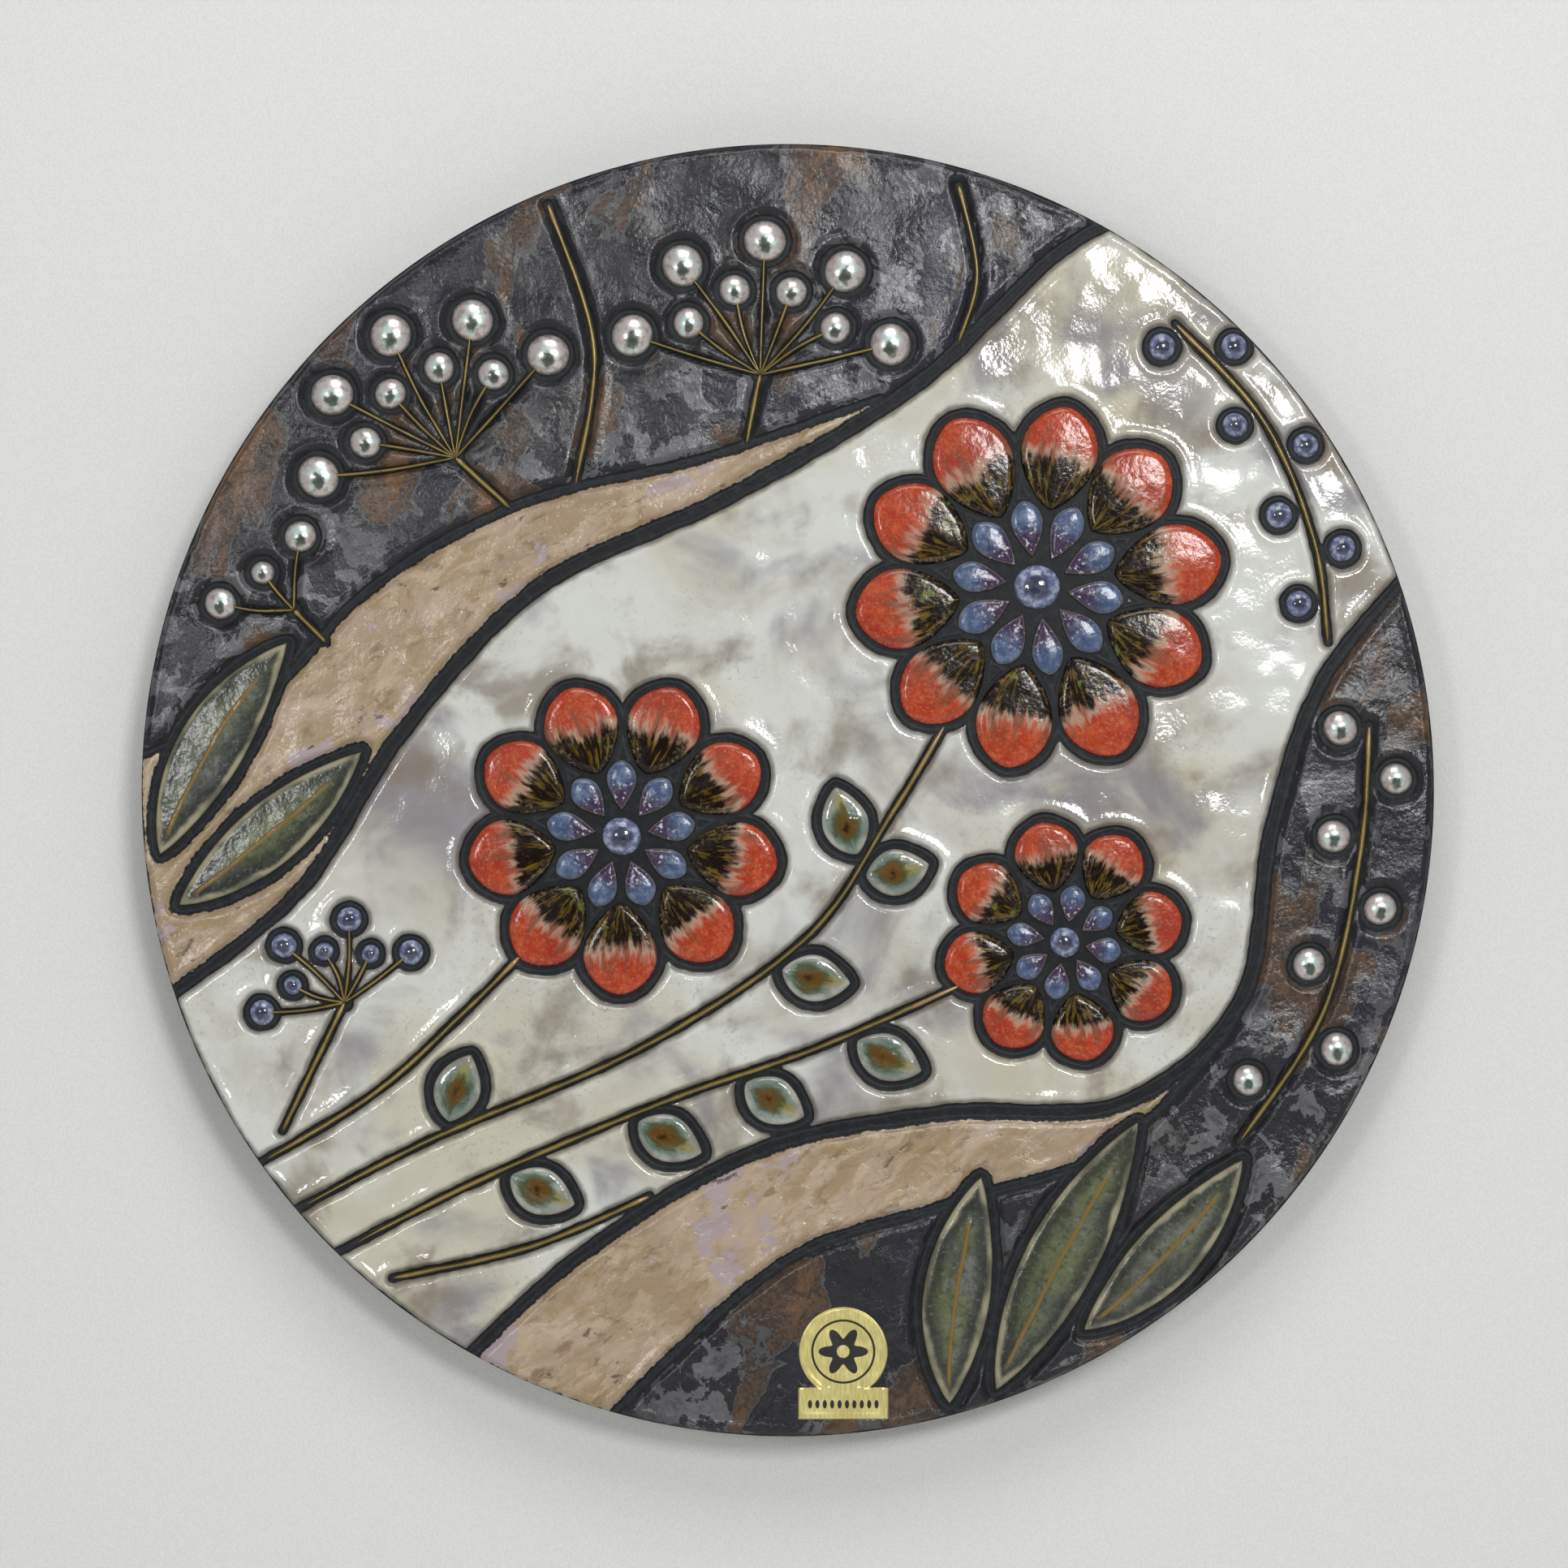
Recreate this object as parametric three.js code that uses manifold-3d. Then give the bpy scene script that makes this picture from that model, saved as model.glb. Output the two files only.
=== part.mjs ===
// A round glazed stoneware wall plate with a relief of flowers, seed heads and leaves, and a foil label.
// Sizes are in millimetres. The face is laid out flat, with x to the right, y up and z out from the wall,
// and the whole is then turned so that +Z is up and the face looks along -Y.
import * as THREE from 'three';
import { mergeVertices } from 'three/addons/utils/BufferGeometryUtils.js';
import Module from 'manifold-3d';

const wasm = await Module();
wasm.setup();

// The plate
const plateRadius = 140;
const faceHeight = 18;          // from the wall to the face
const rimThickness = 6;
const bodyThickness = 9;        // at the middle, behind the foot ring's recess
const footRadius = 89;          // middle of the foot ring
const footWidth = 7;
const edgeRounding = 0.8;
const roundSteps = 72;

// The relief
const grooveDepth = 1.1;        // bare dark lines lie this far below the glaze
const pillowRise = 0.4;         // glazed motifs stand this far over the face
const outlineWidth = 2.2;
const buried = 0.5;             // how far a motif reaches into the body below it
const grooveFloor = faceHeight - grooveDepth;
const overFace = faceHeight + 4;

// The foil label
const labelDisc = 9.6;
const labelBar = { width: 19.5, height: 6.8 };
const labelOverlap = 1.8;         // the bar runs this far up behind the disc
const labelPlace = { x: 12, y: -121.5 };
const labelThickness = 0.3;
const labelSides = 32;
const labelGap = 0.3;

function polar(degrees, radius = plateRadius + 6) {
  const angle = THREE.MathUtils.degToRad(degrees);
  return [radius * Math.cos(angle), radius * Math.sin(angle)];
}

// Dividing lines between the glazes. Each is drawn in to endShare of its width at both ends.
const endShare = 0.8;
const dividers = [
  {
    width: 4.2,
    points: [polar(199), [-106, -22], [-84, 12], [-54, 44], [-12, 64], [28, 88], [58, 116], polar(59)],
  },
  { width: 3.0, points: [polar(178), [-114, 20], [-90, 44], [-58, 62], [-18, 72], [20, 85]] },
  {
    width: 4.2,
    points: [
      polar(240), [-44, -100], [-6, -78], [34, -70], [72, -68], [98, -46], [105, -8], [116, 24], polar(20),
    ],
  },
  { width: 3.2, points: [polar(253), [-2, -103], [34, -90], [70, -78], [95, -53]] },
];

// Round flowers: outer petals, a ring of small petals and a domed eye
const flowers = [
  { x: 54, y: 44, radius: 40, petals: 10, turn: 9 },
  { x: -36, y: -10, radius: 34, petals: 9, turn: 30 },
  { x: 60, y: -33, radius: 26.5, petals: 8, turn: 12 },
];
const flowerHeart = 0.45;         // of the flower's radius, the disc of small petals
const outerPetal = { start: 0.94, belly: 1.22, fullness: 0.55, fill: 0.77, parting: 2 };
const innerPetal = { start: 0.36, end: 1.06, belly: 1.5, fullness: 0.6, fill: 0.8, parting: 1.85 };
const eye = { share: 0.27, rise: 0.9, sides: 10 };
const scallop = { steps: 4, notch: 0.17, roundness: 0.6 };      // the groove round the outer petals

// Seed heads: spokes from a hub, each with a bead in a round well, long and short by turns
const seedHeads = [
  { hub: [-72, 72], aim: 118, spread: 140, count: 9, reach: 30, bead: 4.5, root: [-60, 61] },
  { hub: [-6, 90], aim: 88, spread: 150, count: 9, reach: 29, bead: 4.5, root: [-9, 75] },
  { hub: [-107, 39], aim: 130, spread: 90, count: 3, reach: 16, bead: 3.4, root: [-100, 32] },
  { hub: [-96, -46], aim: 112, spread: 150, count: 7, reach: 18, bead: 2.7, root: polar(214, 132) },
];
const hubRadius = 2.2;
const shortSpoke = 0.66;
const smallBead = 0.74;
const wellMargin = 1.7;
const hubSides = 6;
const spokeWidth = 1.82;
const beadDome = 0.18;            // rise over the face as a share of the bead's radius
const beadSides = { long: 7, short: 6 };

// Sprigs: a curved stem with beads on its two sides by turns
const sprigs = [
  { points: [[98, -76], [116, -48], [124, -14], [126, 14]], bead: 3.5, count: 7, from: 0.14, to: 0.98 },
  { points: [[117, 32], [114, 54], [103, 80], [84, 101]], bead: 2.8, count: 7, from: 0.16, to: 0.97 },
];

// Flower stems with their leaflets, and blades of grass
const stems = [
  { points: [polar(215), [-90, -66], [-70, -48], [-58, -36]], leaflets: [] },
  { points: [polar(220), [-78, -76], [-32, -56], [4, -32], [22, -6], [34, 14]],
    leaflets: [[0.22, 1], [0.55, -1], [0.7, -1], [0.72, 1]] },
  { points: [polar(225), [-70, -86], [-28, -68], [6, -56], [38, -42]],
    leaflets: [[0.3, -1], [0.46, -1], [0.62, -1], [0.8, -1]] },
];
const leaflet = { length: 15, width: 10.5, lean: 55, bend: -14, belly: 0.9, fullness: 0.75 };
const grasses = [
  [[-46, 66], [-42, 96], [-52, 127]],
  [[37, 97], [41, 112], [37, 131]],
  [polar(231, 136), [-56, -99], [-30, -88]],
];
const stemWidth = 2.6;
const beadToStem = 0.4;           // of the stem's width, from a sprig's stem to the edge of a bead's well

// Broad leaves
const leaves = [
  { base: [35, -133], aim: 90, length: 50, width: 15, bend: -16 },
  { base: [45, -130], aim: 65, length: 66, width: 16, bend: -6 },
  { base: [64, -117], aim: 38, length: 51, width: 14, bend: 18 },
  { base: [-136, -14], aim: 70, length: 54, width: 15, bend: -22 },
  { base: [-132, -25], aim: 36, length: 52, width: 14, bend: 8 },
];
const leafShape = { belly: 0.95, fullness: 0.8 };

// How many stations each outline has along its length, and how far a pillow's top is drawn in
const samples = { petal: 6, innerPetal: 4, leaflet: 5, leaf: 8 };
const flare = 0.2;                // a small motif's foot is this much wider than its outline
const drawnIn = { petal: 0.9, innerPetal: 0.6, leaflet: 0.8, leaf: 1.2 };

// Joining and cutting
function toSolid(geometry) {
  geometry.deleteAttribute('normal');
  geometry.deleteAttribute('uv');
  const merged = mergeVertices(geometry, 1e-4);
  return new wasm.Manifold(new wasm.Mesh({
    numProp: 3,
    vertProperties: new Float32Array(merged.attributes.position.array),
    triVerts: new Uint32Array(merged.index.array),
  }));
}

function toGeometry(solid) {
  const mesh = solid.getMesh();
  const geometry = new THREE.BufferGeometry();
  geometry.setAttribute('position', new THREE.BufferAttribute(mesh.vertProperties, 3));
  geometry.setIndex(new THREE.BufferAttribute(mesh.triVerts, 1));
  geometry.computeVertexNormals();
  return geometry;
}

// One solid from many, its flat faces merged where the parts met
function joined(solids) {
  return solids.reduce((whole, next) => whole.add(next)).asOriginal();
}

// A flat outline raised from one height to another
function raised(outline, low, high) {
  const shape = new THREE.Shape(outline.map(([x, y]) => new THREE.Vector2(x, y)));
  const geometry = new THREE.ExtrudeGeometry(shape, { depth: high - low, bevelEnabled: false });
  return toSolid(geometry.translate(0, 0, low));
}

// Rings of equal point count, each at its own height, skinned and capped
function lofted(rings) {
  const count = rings[0].outline.length;
  const positions = rings.flatMap((ring) => ring.outline.flatMap(([x, y]) => [x, y, ring.height]));
  const index = [];
  for (let ring = 0; ring + 1 < rings.length; ring += 1) {
    for (let i = 0; i < count; i += 1) {
      const a = ring * count + i;
      const b = ring * count + ((i + 1) % count);
      index.push(a, b, b + count, a, b + count, a + count);
    }
  }
  const foot = rings[0].outline.map(([x, y]) => new THREE.Vector2(x, y));
  const cap = THREE.ShapeUtils.triangulateShape(foot, []);
  const top = (rings.length - 1) * count;
  cap.forEach(([a, b, c]) => {
    index.push(a, c, b);
    index.push(a + top, b + top, c + top);
  });
  const geometry = new THREE.BufferGeometry();
  geometry.setAttribute('position', new THREE.Float32BufferAttribute(positions, 3));
  geometry.setIndex(index);
  return toSolid(geometry);
}

// Curves and outlines
function splineThrough(points) {
  return new THREE.SplineCurve(points.map(([x, y]) => new THREE.Vector2(x, y)));
}

function curveThrough(points, stepsEach = 3) {
  return splineThrough(points).getPoints((points.length - 1) * stepsEach).map((p) => [p.x, p.y]);
}

// The strip along a path, its width drawn in to a share at both ends
function ribbon(path, width, ends = 1) {
  const left = [];
  const right = [];
  const last = path.length - 1;
  path.forEach(([x, y], i) => {
    const before = path[Math.max(i - 1, 0)];
    const after = path[Math.min(i + 1, last)];
    const run = Math.hypot(after[0] - before[0], after[1] - before[1]);
    const nx = -(after[1] - before[1]) / run;
    const ny = (after[0] - before[0]) / run;
    const half = 0.5 * width * (ends + (1 - ends) * Math.sin((Math.PI * i) / last));
    left.push([x + nx * half, y + ny * half]);
    right.push([x - nx * half, y - ny * half]);
  });
  return [...right, ...left.reverse()];
}

// A petal or leaf: along a bending axis the half width is width/2 * sin(pi * t^belly)^fullness.
// grow widens it all round, for the groove about it, or narrows it for a pillow's upper rings.
function blade({ base, aim, length, width, bend = 0, belly, fullness }, grow, count) {
  const steps = count - 1;
  const full = length + 2 * grow;
  const start = THREE.MathUtils.degToRad(aim);
  const turn = THREE.MathUtils.degToRad(bend);
  let x = base[0] - grow * Math.cos(start);
  let y = base[1] - grow * Math.sin(start);
  const left = [];
  const right = [];
  for (let i = 0; i <= steps; i += 1) {
    const t = i / steps;
    const angle = start + turn * t;
    const half = (width / 2 + grow) * Math.max(Math.sin(Math.PI * t ** belly), 0) ** fullness;
    left.push([x - Math.sin(angle) * half, y + Math.cos(angle) * half]);
    right.push([x + Math.sin(angle) * half, y - Math.cos(angle) * half]);
    const onward = angle + turn / (2 * steps);
    x += (Math.cos(onward) * full) / steps;
    y += (Math.sin(onward) * full) / steps;
  }
  return [...right, ...left.slice(1, -1).reverse()];
}

function circle(x, y, radius, count) {
  return Array.from({ length: count }, (_, i) => {
    const angle = (2 * Math.PI * i) / count;
    return [x + radius * Math.cos(angle), y + radius * Math.sin(angle)];
  });
}

// A glazed pillow on a blade outline, standing in its groove
function pillow(form, count, inset) {
  return lofted([
    { outline: blade(form, 0, count), height: grooveFloor - buried },
    { outline: blade(form, 0, count), height: faceHeight - grooveDepth / 2 },
    { outline: blade(form, -inset, count), height: faceHeight + pillowRise },
  ]);
}

// The same with sides that slope all the way up, for small motifs
function smallPillow(form, count, inset) {
  return lofted([
    { outline: blade(form, flare, count), height: grooveFloor - buried },
    { outline: blade(form, -inset, count), height: faceHeight + pillowRise },
  ]);
}

function bladeGroove(form, count) {
  return raised(blade(form, outlineWidth, count), grooveFloor, overFace);
}

// A domed bead in the bottom of its well, with a shoulder on the larger ones
function bead(x, y, radius, rise, sides) {
  const shoulder = sides > beadSides.short ? [[0.97 * radius, grooveFloor + 0.4 * rise]] : [];
  const rings = [[radius, grooveFloor - buried], ...shoulder, [0.6 * radius, grooveFloor + rise]];
  return lofted(rings.map(([r, height]) => ({ outline: circle(x, y, r, sides), height })));
}

// The base, aim, length and width of one petal in a ring about (x, y)
function petalForm(x, y, aim, ring, shape, count) {
  const [dx, dy] = polar(aim, ring.start);
  const width = (2 * Math.PI * ring.fillRadius * shape.fill) / count - shape.parting;
  const { belly, fullness } = shape;
  return { base: [x + dx, y + dy], aim, length: ring.end - ring.start, width, belly, fullness };
}

// The plate's own motifs, each giving what it cuts away and what it adds
function makeFlower({ x, y, radius, petals, turn }) {
  const heart = radius * flowerHeart;
  const outerRing = { start: heart * outerPetal.start, end: radius, fillRadius: radius };
  const innerRing = { start: heart * innerPetal.start, end: heart * innerPetal.end, fillRadius: heart };
  const groove = [];
  const adds = [];
  for (let i = 0; i < petals; i += 1) {
    const aim = turn + (360 * i) / petals;
    adds.push(pillow(petalForm(x, y, aim, outerRing, outerPetal, petals), samples.petal, drawnIn.petal));
    for (let step = 0; step < scallop.steps; step += 1) {
      const share = step / scallop.steps;
      const notch = radius * scallop.notch * (1 - Math.sin(Math.PI * share) ** scallop.roundness);
      const [dx, dy] = polar(aim + (360 * (share - 0.5)) / petals, radius + outlineWidth - notch);
      groove.push([x + dx, y + dy]);
    }
    const inner = petalForm(x, y, aim + 180 / petals, innerRing, innerPetal, petals);
    adds.push(smallPillow(inner, samples.innerPetal, drawnIn.innerPetal));
  }
  adds.push(bead(x, y, heart * eye.share, grooveDepth + eye.rise, eye.sides));
  return { cuts: [raised(groove, grooveFloor, overFace)], adds };
}

// A bead and the well around it
function wellAndBead(x, y, radius, sides) {
  return {
    cut: raised(circle(x, y, radius + wellMargin, sides), grooveFloor, overFace),
    add: bead(x, y, radius, grooveDepth + beadDome * radius, sides),
  };
}

function makeSeedHead({ hub, aim, spread, count, reach, bead: beadRadius, root }) {
  const cuts = [raised(ribbon([root, hub], stemWidth), grooveFloor, overFace)];
  cuts.push(raised(circle(...hub, hubRadius, hubSides), grooveFloor, overFace));
  const adds = [];
  for (let i = 0; i < count; i += 1) {
    const angle = aim + spread * (i / (count - 1) - 0.5);
    const long = i % 2 === 0;
    const [dx, dy] = polar(angle, reach * (long ? 1 : shortSpoke));
    const tip = [hub[0] + dx, hub[1] + dy];
    const radius = beadRadius * (long ? 1 : smallBead);
    const { cut, add } = wellAndBead(...tip, radius, long ? beadSides.long : beadSides.short);
    cuts.push(raised(ribbon([hub, tip], spokeWidth), grooveFloor, overFace), cut);
    adds.push(add);
  }
  return { cuts, adds };
}

function makeSprig({ points, bead: radius, count, from, to }) {
  const spline = splineThrough(points);
  const { cuts } = makeStem(points);
  const adds = [];
  for (let i = 0; i < count; i += 1) {
    const along = from + ((to - from) * i) / (count - 1);
    const at = spline.getPoint(along);
    const normal = spline.getTangent(along).rotateAround(new THREE.Vector2(), Math.PI / 2);
    const offset = (i % 2 === 0 ? 1 : -1) * (radius + wellMargin + beadToStem * stemWidth);
    const tip = [at.x + offset * normal.x, at.y + offset * normal.y];
    const { cut, add } = wellAndBead(...tip, radius, beadSides.short);
    cuts.push(cut);
    adds.push(add);
  }
  return { cuts, adds };
}

function makeStem(points) {
  return { cuts: [raised(ribbon(curveThrough(points), stemWidth), grooveFloor, overFace)], adds: [] };
}

function makeLeaflet(points, along, side) {
  const spline = splineThrough(points);
  const at = spline.getPoint(along);
  const heading = THREE.MathUtils.radToDeg(spline.getTangent(along).angle());
  const aim = heading + side * leaflet.lean;
  const [dx, dy] = polar(aim, outlineWidth);
  const form = { ...leaflet, base: [at.x + dx, at.y + dy], aim, bend: side * leaflet.bend };
  return {
    cuts: [bladeGroove(form, samples.leaflet)],
    adds: [smallPillow(form, samples.leaflet, drawnIn.leaflet)],
  };
}

function makeLeaf(form) {
  const leaf = { ...form, ...leafShape };
  return { cuts: [bladeGroove(leaf, samples.leaf)], adds: [pillow(leaf, samples.leaf, drawnIn.leaf)] };
}

// The plate's section: the recess, the foot ring, the underside rising to the rim, and the face
function makeDisc() {
  const half = footWidth / 2;
  const recess = faceHeight - bodyThickness;
  const rimBack = faceHeight - rimThickness;
  const profile = [
    [0, recess],
    [footRadius - half - 1.4, recess],
    [footRadius - half, 0],
    [footRadius + half, 0],
    [footRadius + half + 2, recess - 1.6],
    [plateRadius - 10, rimBack - 2.2],
    [plateRadius - 1.2, rimBack],
    [plateRadius, rimBack + 1.5],
    [plateRadius, faceHeight - edgeRounding],
    [plateRadius - edgeRounding, faceHeight],
    [0, faceHeight],
  ];
  const lathe = new THREE.LatheGeometry(profile.map(([r, z]) => new THREE.Vector2(r, z)), roundSteps);
  return toSolid(lathe.rotateX(Math.PI / 2));
}

function makePlate() {
  const leaflets = stems.flatMap((stem) => (
    stem.leaflets.map(([along, side]) => makeLeaflet(stem.points, along, side))
  ));
  const motifs = [
    ...dividers.map(({ points, width }) => ({
      cuts: [raised(ribbon(curveThrough(points), width, endShare), grooveFloor, overFace)], adds: [],
    })),
    ...flowers.map(makeFlower),
    ...seedHeads.map(makeSeedHead),
    ...sprigs.map(makeSprig),
    ...stems.map(({ points }) => makeStem(points)),
    ...grasses.map(makeStem),
    ...leaflets,
    ...leaves.map(makeLeaf),
  ];
  const disc = makeDisc();
  const cut = disc.subtract(joined(motifs.flatMap(({ cuts }) => cuts))).asOriginal();
  return toGeometry(joined([cut, ...motifs.flatMap(({ adds }) => adds)]));
}

function makeLabel() {
  const low = faceHeight + labelGap;
  const high = low + labelThickness;
  const { x, y } = labelPlace;
  const half = labelBar.width / 2;
  const barTop = y - labelDisc + labelOverlap;
  const bar = [[x - half, barTop - labelBar.height], [x + half, barTop - labelBar.height], [x + half, barTop],
    [x - half, barTop]];
  return toGeometry(raised(circle(x, y, labelDisc, labelSides), low, high).add(raised(bar, low, high)));
}

const stoneware = new THREE.MeshStandardMaterial({ color: 0xcfcbc2, roughness: 0.25, metalness: 0 });
const foil = new THREE.MeshStandardMaterial({ color: 0xcdbe6e, roughness: 0.35, metalness: 1 });

function namedMesh(name, geometry, material) {
  const mesh = new THREE.Mesh(geometry, material);
  mesh.name = name;
  return mesh;
}

// The origin is on the foot ring's rear face, at its top, where the plate hangs against the wall
const wallPlate = new THREE.Group();
wallPlate.name = 'wall_plate';
wallPlate.add(namedMesh('plate', makePlate(), stoneware), namedMesh('foil_label', makeLabel(), foil));
wallPlate.rotation.x = Math.PI / 2;
wallPlate.position.z = -footRadius;

export default wallPlate;
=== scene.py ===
import math
import bpy
import numpy as np
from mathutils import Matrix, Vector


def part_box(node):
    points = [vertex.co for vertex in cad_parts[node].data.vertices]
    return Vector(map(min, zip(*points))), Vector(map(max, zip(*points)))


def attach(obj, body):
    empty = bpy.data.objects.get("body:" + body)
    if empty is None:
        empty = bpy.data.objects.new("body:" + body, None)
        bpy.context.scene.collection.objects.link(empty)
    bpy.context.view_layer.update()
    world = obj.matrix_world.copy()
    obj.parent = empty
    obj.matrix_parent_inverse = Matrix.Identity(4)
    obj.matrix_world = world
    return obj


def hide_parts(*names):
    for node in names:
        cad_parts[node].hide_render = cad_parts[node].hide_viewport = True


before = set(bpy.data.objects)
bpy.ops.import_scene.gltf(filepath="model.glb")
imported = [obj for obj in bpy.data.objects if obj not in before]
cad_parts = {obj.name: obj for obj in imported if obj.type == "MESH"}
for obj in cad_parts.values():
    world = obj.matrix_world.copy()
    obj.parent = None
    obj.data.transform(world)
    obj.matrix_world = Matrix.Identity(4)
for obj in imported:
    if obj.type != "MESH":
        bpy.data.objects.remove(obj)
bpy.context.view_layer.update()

# A round glazed wall plate. Its face is laid out flat in millimetres: x to the right, y up, height out from
# the wall. toFrame() turns that into metres in the model's frame.
plateLow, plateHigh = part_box("plate")
print("frame loaded:", sorted(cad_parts))

plate = {
    "radius": (plateHigh.x - plateLow.x) * 500,
    "footRadius": 89.0,
    "footWidth": 7.0,
    "face": 18.0,               # height of the glaze over the wall
    "groove": 1.1,              # how far the bare lines lie below it
    "rimThickness": 6.0,
    "bodyThickness": 9.0,
    "rimLine": 0.4,             # bare dark line round the edge
}
plate["floor"] = plate["face"] - plate["groove"]
offRim = plate["radius"] + 6    # lines that run over the rim end here


def toFrame(x, y, height):
    return np.stack([x, -height, y - plate["footRadius"]], -1) / 1000


# Curves and outlines

def polar(degrees, radius=offRim):
    angle = np.radians(degrees)
    return np.stack([radius * np.cos(angle), radius * np.sin(angle)], -1)


# Through the points in turn: each stretch is a cubic, and its slope at a point is half the step between
# the two neighbours of that point.
def splineAt(points, t):
    p = np.asarray(points, float)
    last = len(p) - 1
    place = np.clip(np.asarray(t, float), 0, 1) * last
    i = np.minimum(place.astype(int), last - 1)
    w = (place - i)[..., None]
    start, end = p[i], p[i + 1]
    slopeIn = (end - p[np.maximum(i - 1, 0)]) / 2
    slopeOut = (p[np.minimum(i + 2, last)] - start) / 2
    cubic = 2 * start - 2 * end + slopeIn + slopeOut
    square = 3 * end - 3 * start - 2 * slopeIn - slopeOut
    return ((cubic * w + square) * w + slopeIn) * w + start


def curveThrough(points, stepsEach=14):
    return splineAt(points, np.linspace(0, 1, (len(points) - 1) * stepsEach + 1))


def headingAt(points, t):
    step = splineAt(points, t + 0.001) - splineAt(points, t - 0.001)
    return step / np.linalg.norm(step, axis=-1, keepdims=True)


# A petal or leaf. Its axis starts at the base and bends evenly, and its half width at the share t of its
# length is width / 2 * sin(pi * t^belly)^fullness. across runs from -1, its right edge, to 1.
def bladeAt(form, t, across):
    aim = math.radians(form["aim"])
    turn = math.radians(form.get("bend", 0)) or 1e-6
    angle = aim + turn * t
    reach = form["length"] / turn
    half = form["width"] / 2 * np.sin(np.pi * t ** form["belly"]).clip(0) ** form["fullness"]
    x = form["base"][0] + reach * (np.sin(angle) - math.sin(aim)) - np.sin(angle) * half * across
    y = form["base"][1] - reach * (np.cos(angle) - math.cos(aim)) + np.cos(angle) * half * across
    return x, y


def easedShares(count):
    return (1 - np.cos(np.linspace(0, np.pi, count))) / 2


def bladeOutline(form, count=44):
    t = easedShares(count)
    right = np.stack(bladeAt(form, t, -1.0), -1)
    left = np.stack(bladeAt(form, t, 1.0), -1)
    return np.concatenate([right, left[-2:0:-1]])


# Least distance from each point to a broken line, and how far along the line its nearest place is,
# counted in corners.
def distanceTo(x, y, line, closed=False):
    start = line if closed else line[:-1]
    step = (np.roll(line, -1, 0) if closed else line[1:]) - start
    dx, dy = x[:, None] - start[:, 0], y[:, None] - start[:, 1]
    share = ((dx * step[:, 0] + dy * step[:, 1]) / np.maximum((step ** 2).sum(1), 1e-12)).clip(0, 1)
    away = np.hypot(dx - share * step[:, 0], dy - share * step[:, 1])
    nearest = away.argmin(1)
    rows = np.arange(len(x))
    return away[rows, nearest], nearest + share[rows, nearest]


def edgeDistance(x, y, outline):
    return distanceTo(x.ravel(), y.ravel(), outline, closed=True)[0].reshape(x.shape)


# A point is inside where a line from it to the right crosses the outline an odd number of times
def insideOf(x, y, outline):
    odd = np.zeros(len(x), bool)
    for (x0, y0), (x1, y1) in zip(outline, np.roll(outline, -1, 0)):
        if y0 != y1:
            odd ^= ((y0 > y) != (y1 > y)) & (x < x0 + (y - y0) * (x1 - x0) / (y1 - y0))
    return odd


# Gradient noise from -1 to 1: a random slope at each corner of a square lattice, blended by a fade of the
# fifth power
def softNoise(x, y, cell, seed):
    angle = np.random.default_rng(seed).random((128, 128)) * 2 * np.pi
    u, v = x / cell + 512.3, y / cell + 512.7
    i, j = np.floor(u).astype(int), np.floor(v).astype(int)
    a, b = u - i, v - j
    fadeA, fadeB = (f ** 3 * (f * (f * 6 - 15) + 10) for f in (a, b))

    def corner(p, q):
        slope = angle[(i + p) % 128, (j + q) % 128]
        return np.cos(slope) * (a - p) + np.sin(slope) * (b - q)

    low = corner(0, 0) * (1 - fadeA) + corner(1, 0) * fadeA
    high = corner(0, 1) * (1 - fadeA) + corner(1, 1) * fadeA
    return (low * (1 - fadeB) + high * fadeB) * 1.5


def smoothStep(value, low, high):
    t = ((value - low) / (high - low)).clip(0, 1)
    return t * t * (3 - 2 * t)


# Meshes

# The four corners of each cell of a grid of rows by columns, counter-clockwise where the first parameter
# runs to the right and the second up
def gridCells(rows, columns):
    corner = np.arange(rows * columns).reshape(rows, columns)
    cells = [corner[:-1, :-1], corner[1:, :-1], corner[1:, 1:], corner[:-1, 1:]]
    return np.stack(cells, -1).reshape(-1, 4)


# Points at one place become one, and a cell that loses a corner by it becomes a triangle
def welded(points, cells, values):
    _, first, place = np.unique(np.round(points * 1e7).astype(np.int64), axis=0,
                                return_index=True, return_inverse=True)
    cells = place.ravel()[cells]
    same = cells == np.roll(cells, -1, axis=1)
    lost = same.sum(1)
    triangles = cells[lost == 1][~same[lost == 1]].reshape(-1, 3)
    return points[first], cells[lost == 0], triangles, {k: v[first] for k, v in values.items()}


def addObject(name, data):
    made = bpy.data.objects.new(name, data)
    bpy.context.scene.collection.objects.link(made)
    return made


def makePiece(name, points, cells, values, finish, weld=True):
    if weld:
        points, cells, triangles, values = welded(points, cells, values)
    else:
        triangles = np.zeros((0, 3), int)
    mesh = bpy.data.meshes.new(name)
    mesh.vertices.add(len(points))
    mesh.vertices.foreach_set("co", points.astype(np.float32).ravel())
    corners = np.concatenate([cells.ravel(), triangles.ravel()]).astype(np.int32)
    mesh.loops.add(len(corners))
    mesh.loops.foreach_set("vertex_index", corners)
    starts = np.concatenate([np.arange(len(cells)) * 4, len(cells) * 4 + np.arange(len(triangles)) * 3])
    mesh.polygons.add(len(starts))
    mesh.polygons.foreach_set("loop_start", starts.astype(np.int32))
    mesh.polygons.foreach_set("use_smooth", np.ones(len(starts), bool))
    for key, value in values.items():
        mesh.attributes.new(key, "FLOAT", "POINT").data.foreach_set("value", value.astype(np.float32))
    mesh.update(calc_edges=True)
    mesh.validate()
    piece = addObject(name, mesh)
    mesh.materials.append(finish)
    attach(piece, "root")
    print(f"{name}: {len(cells) * 2 + len(triangles)} triangles")
    return piece


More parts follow.
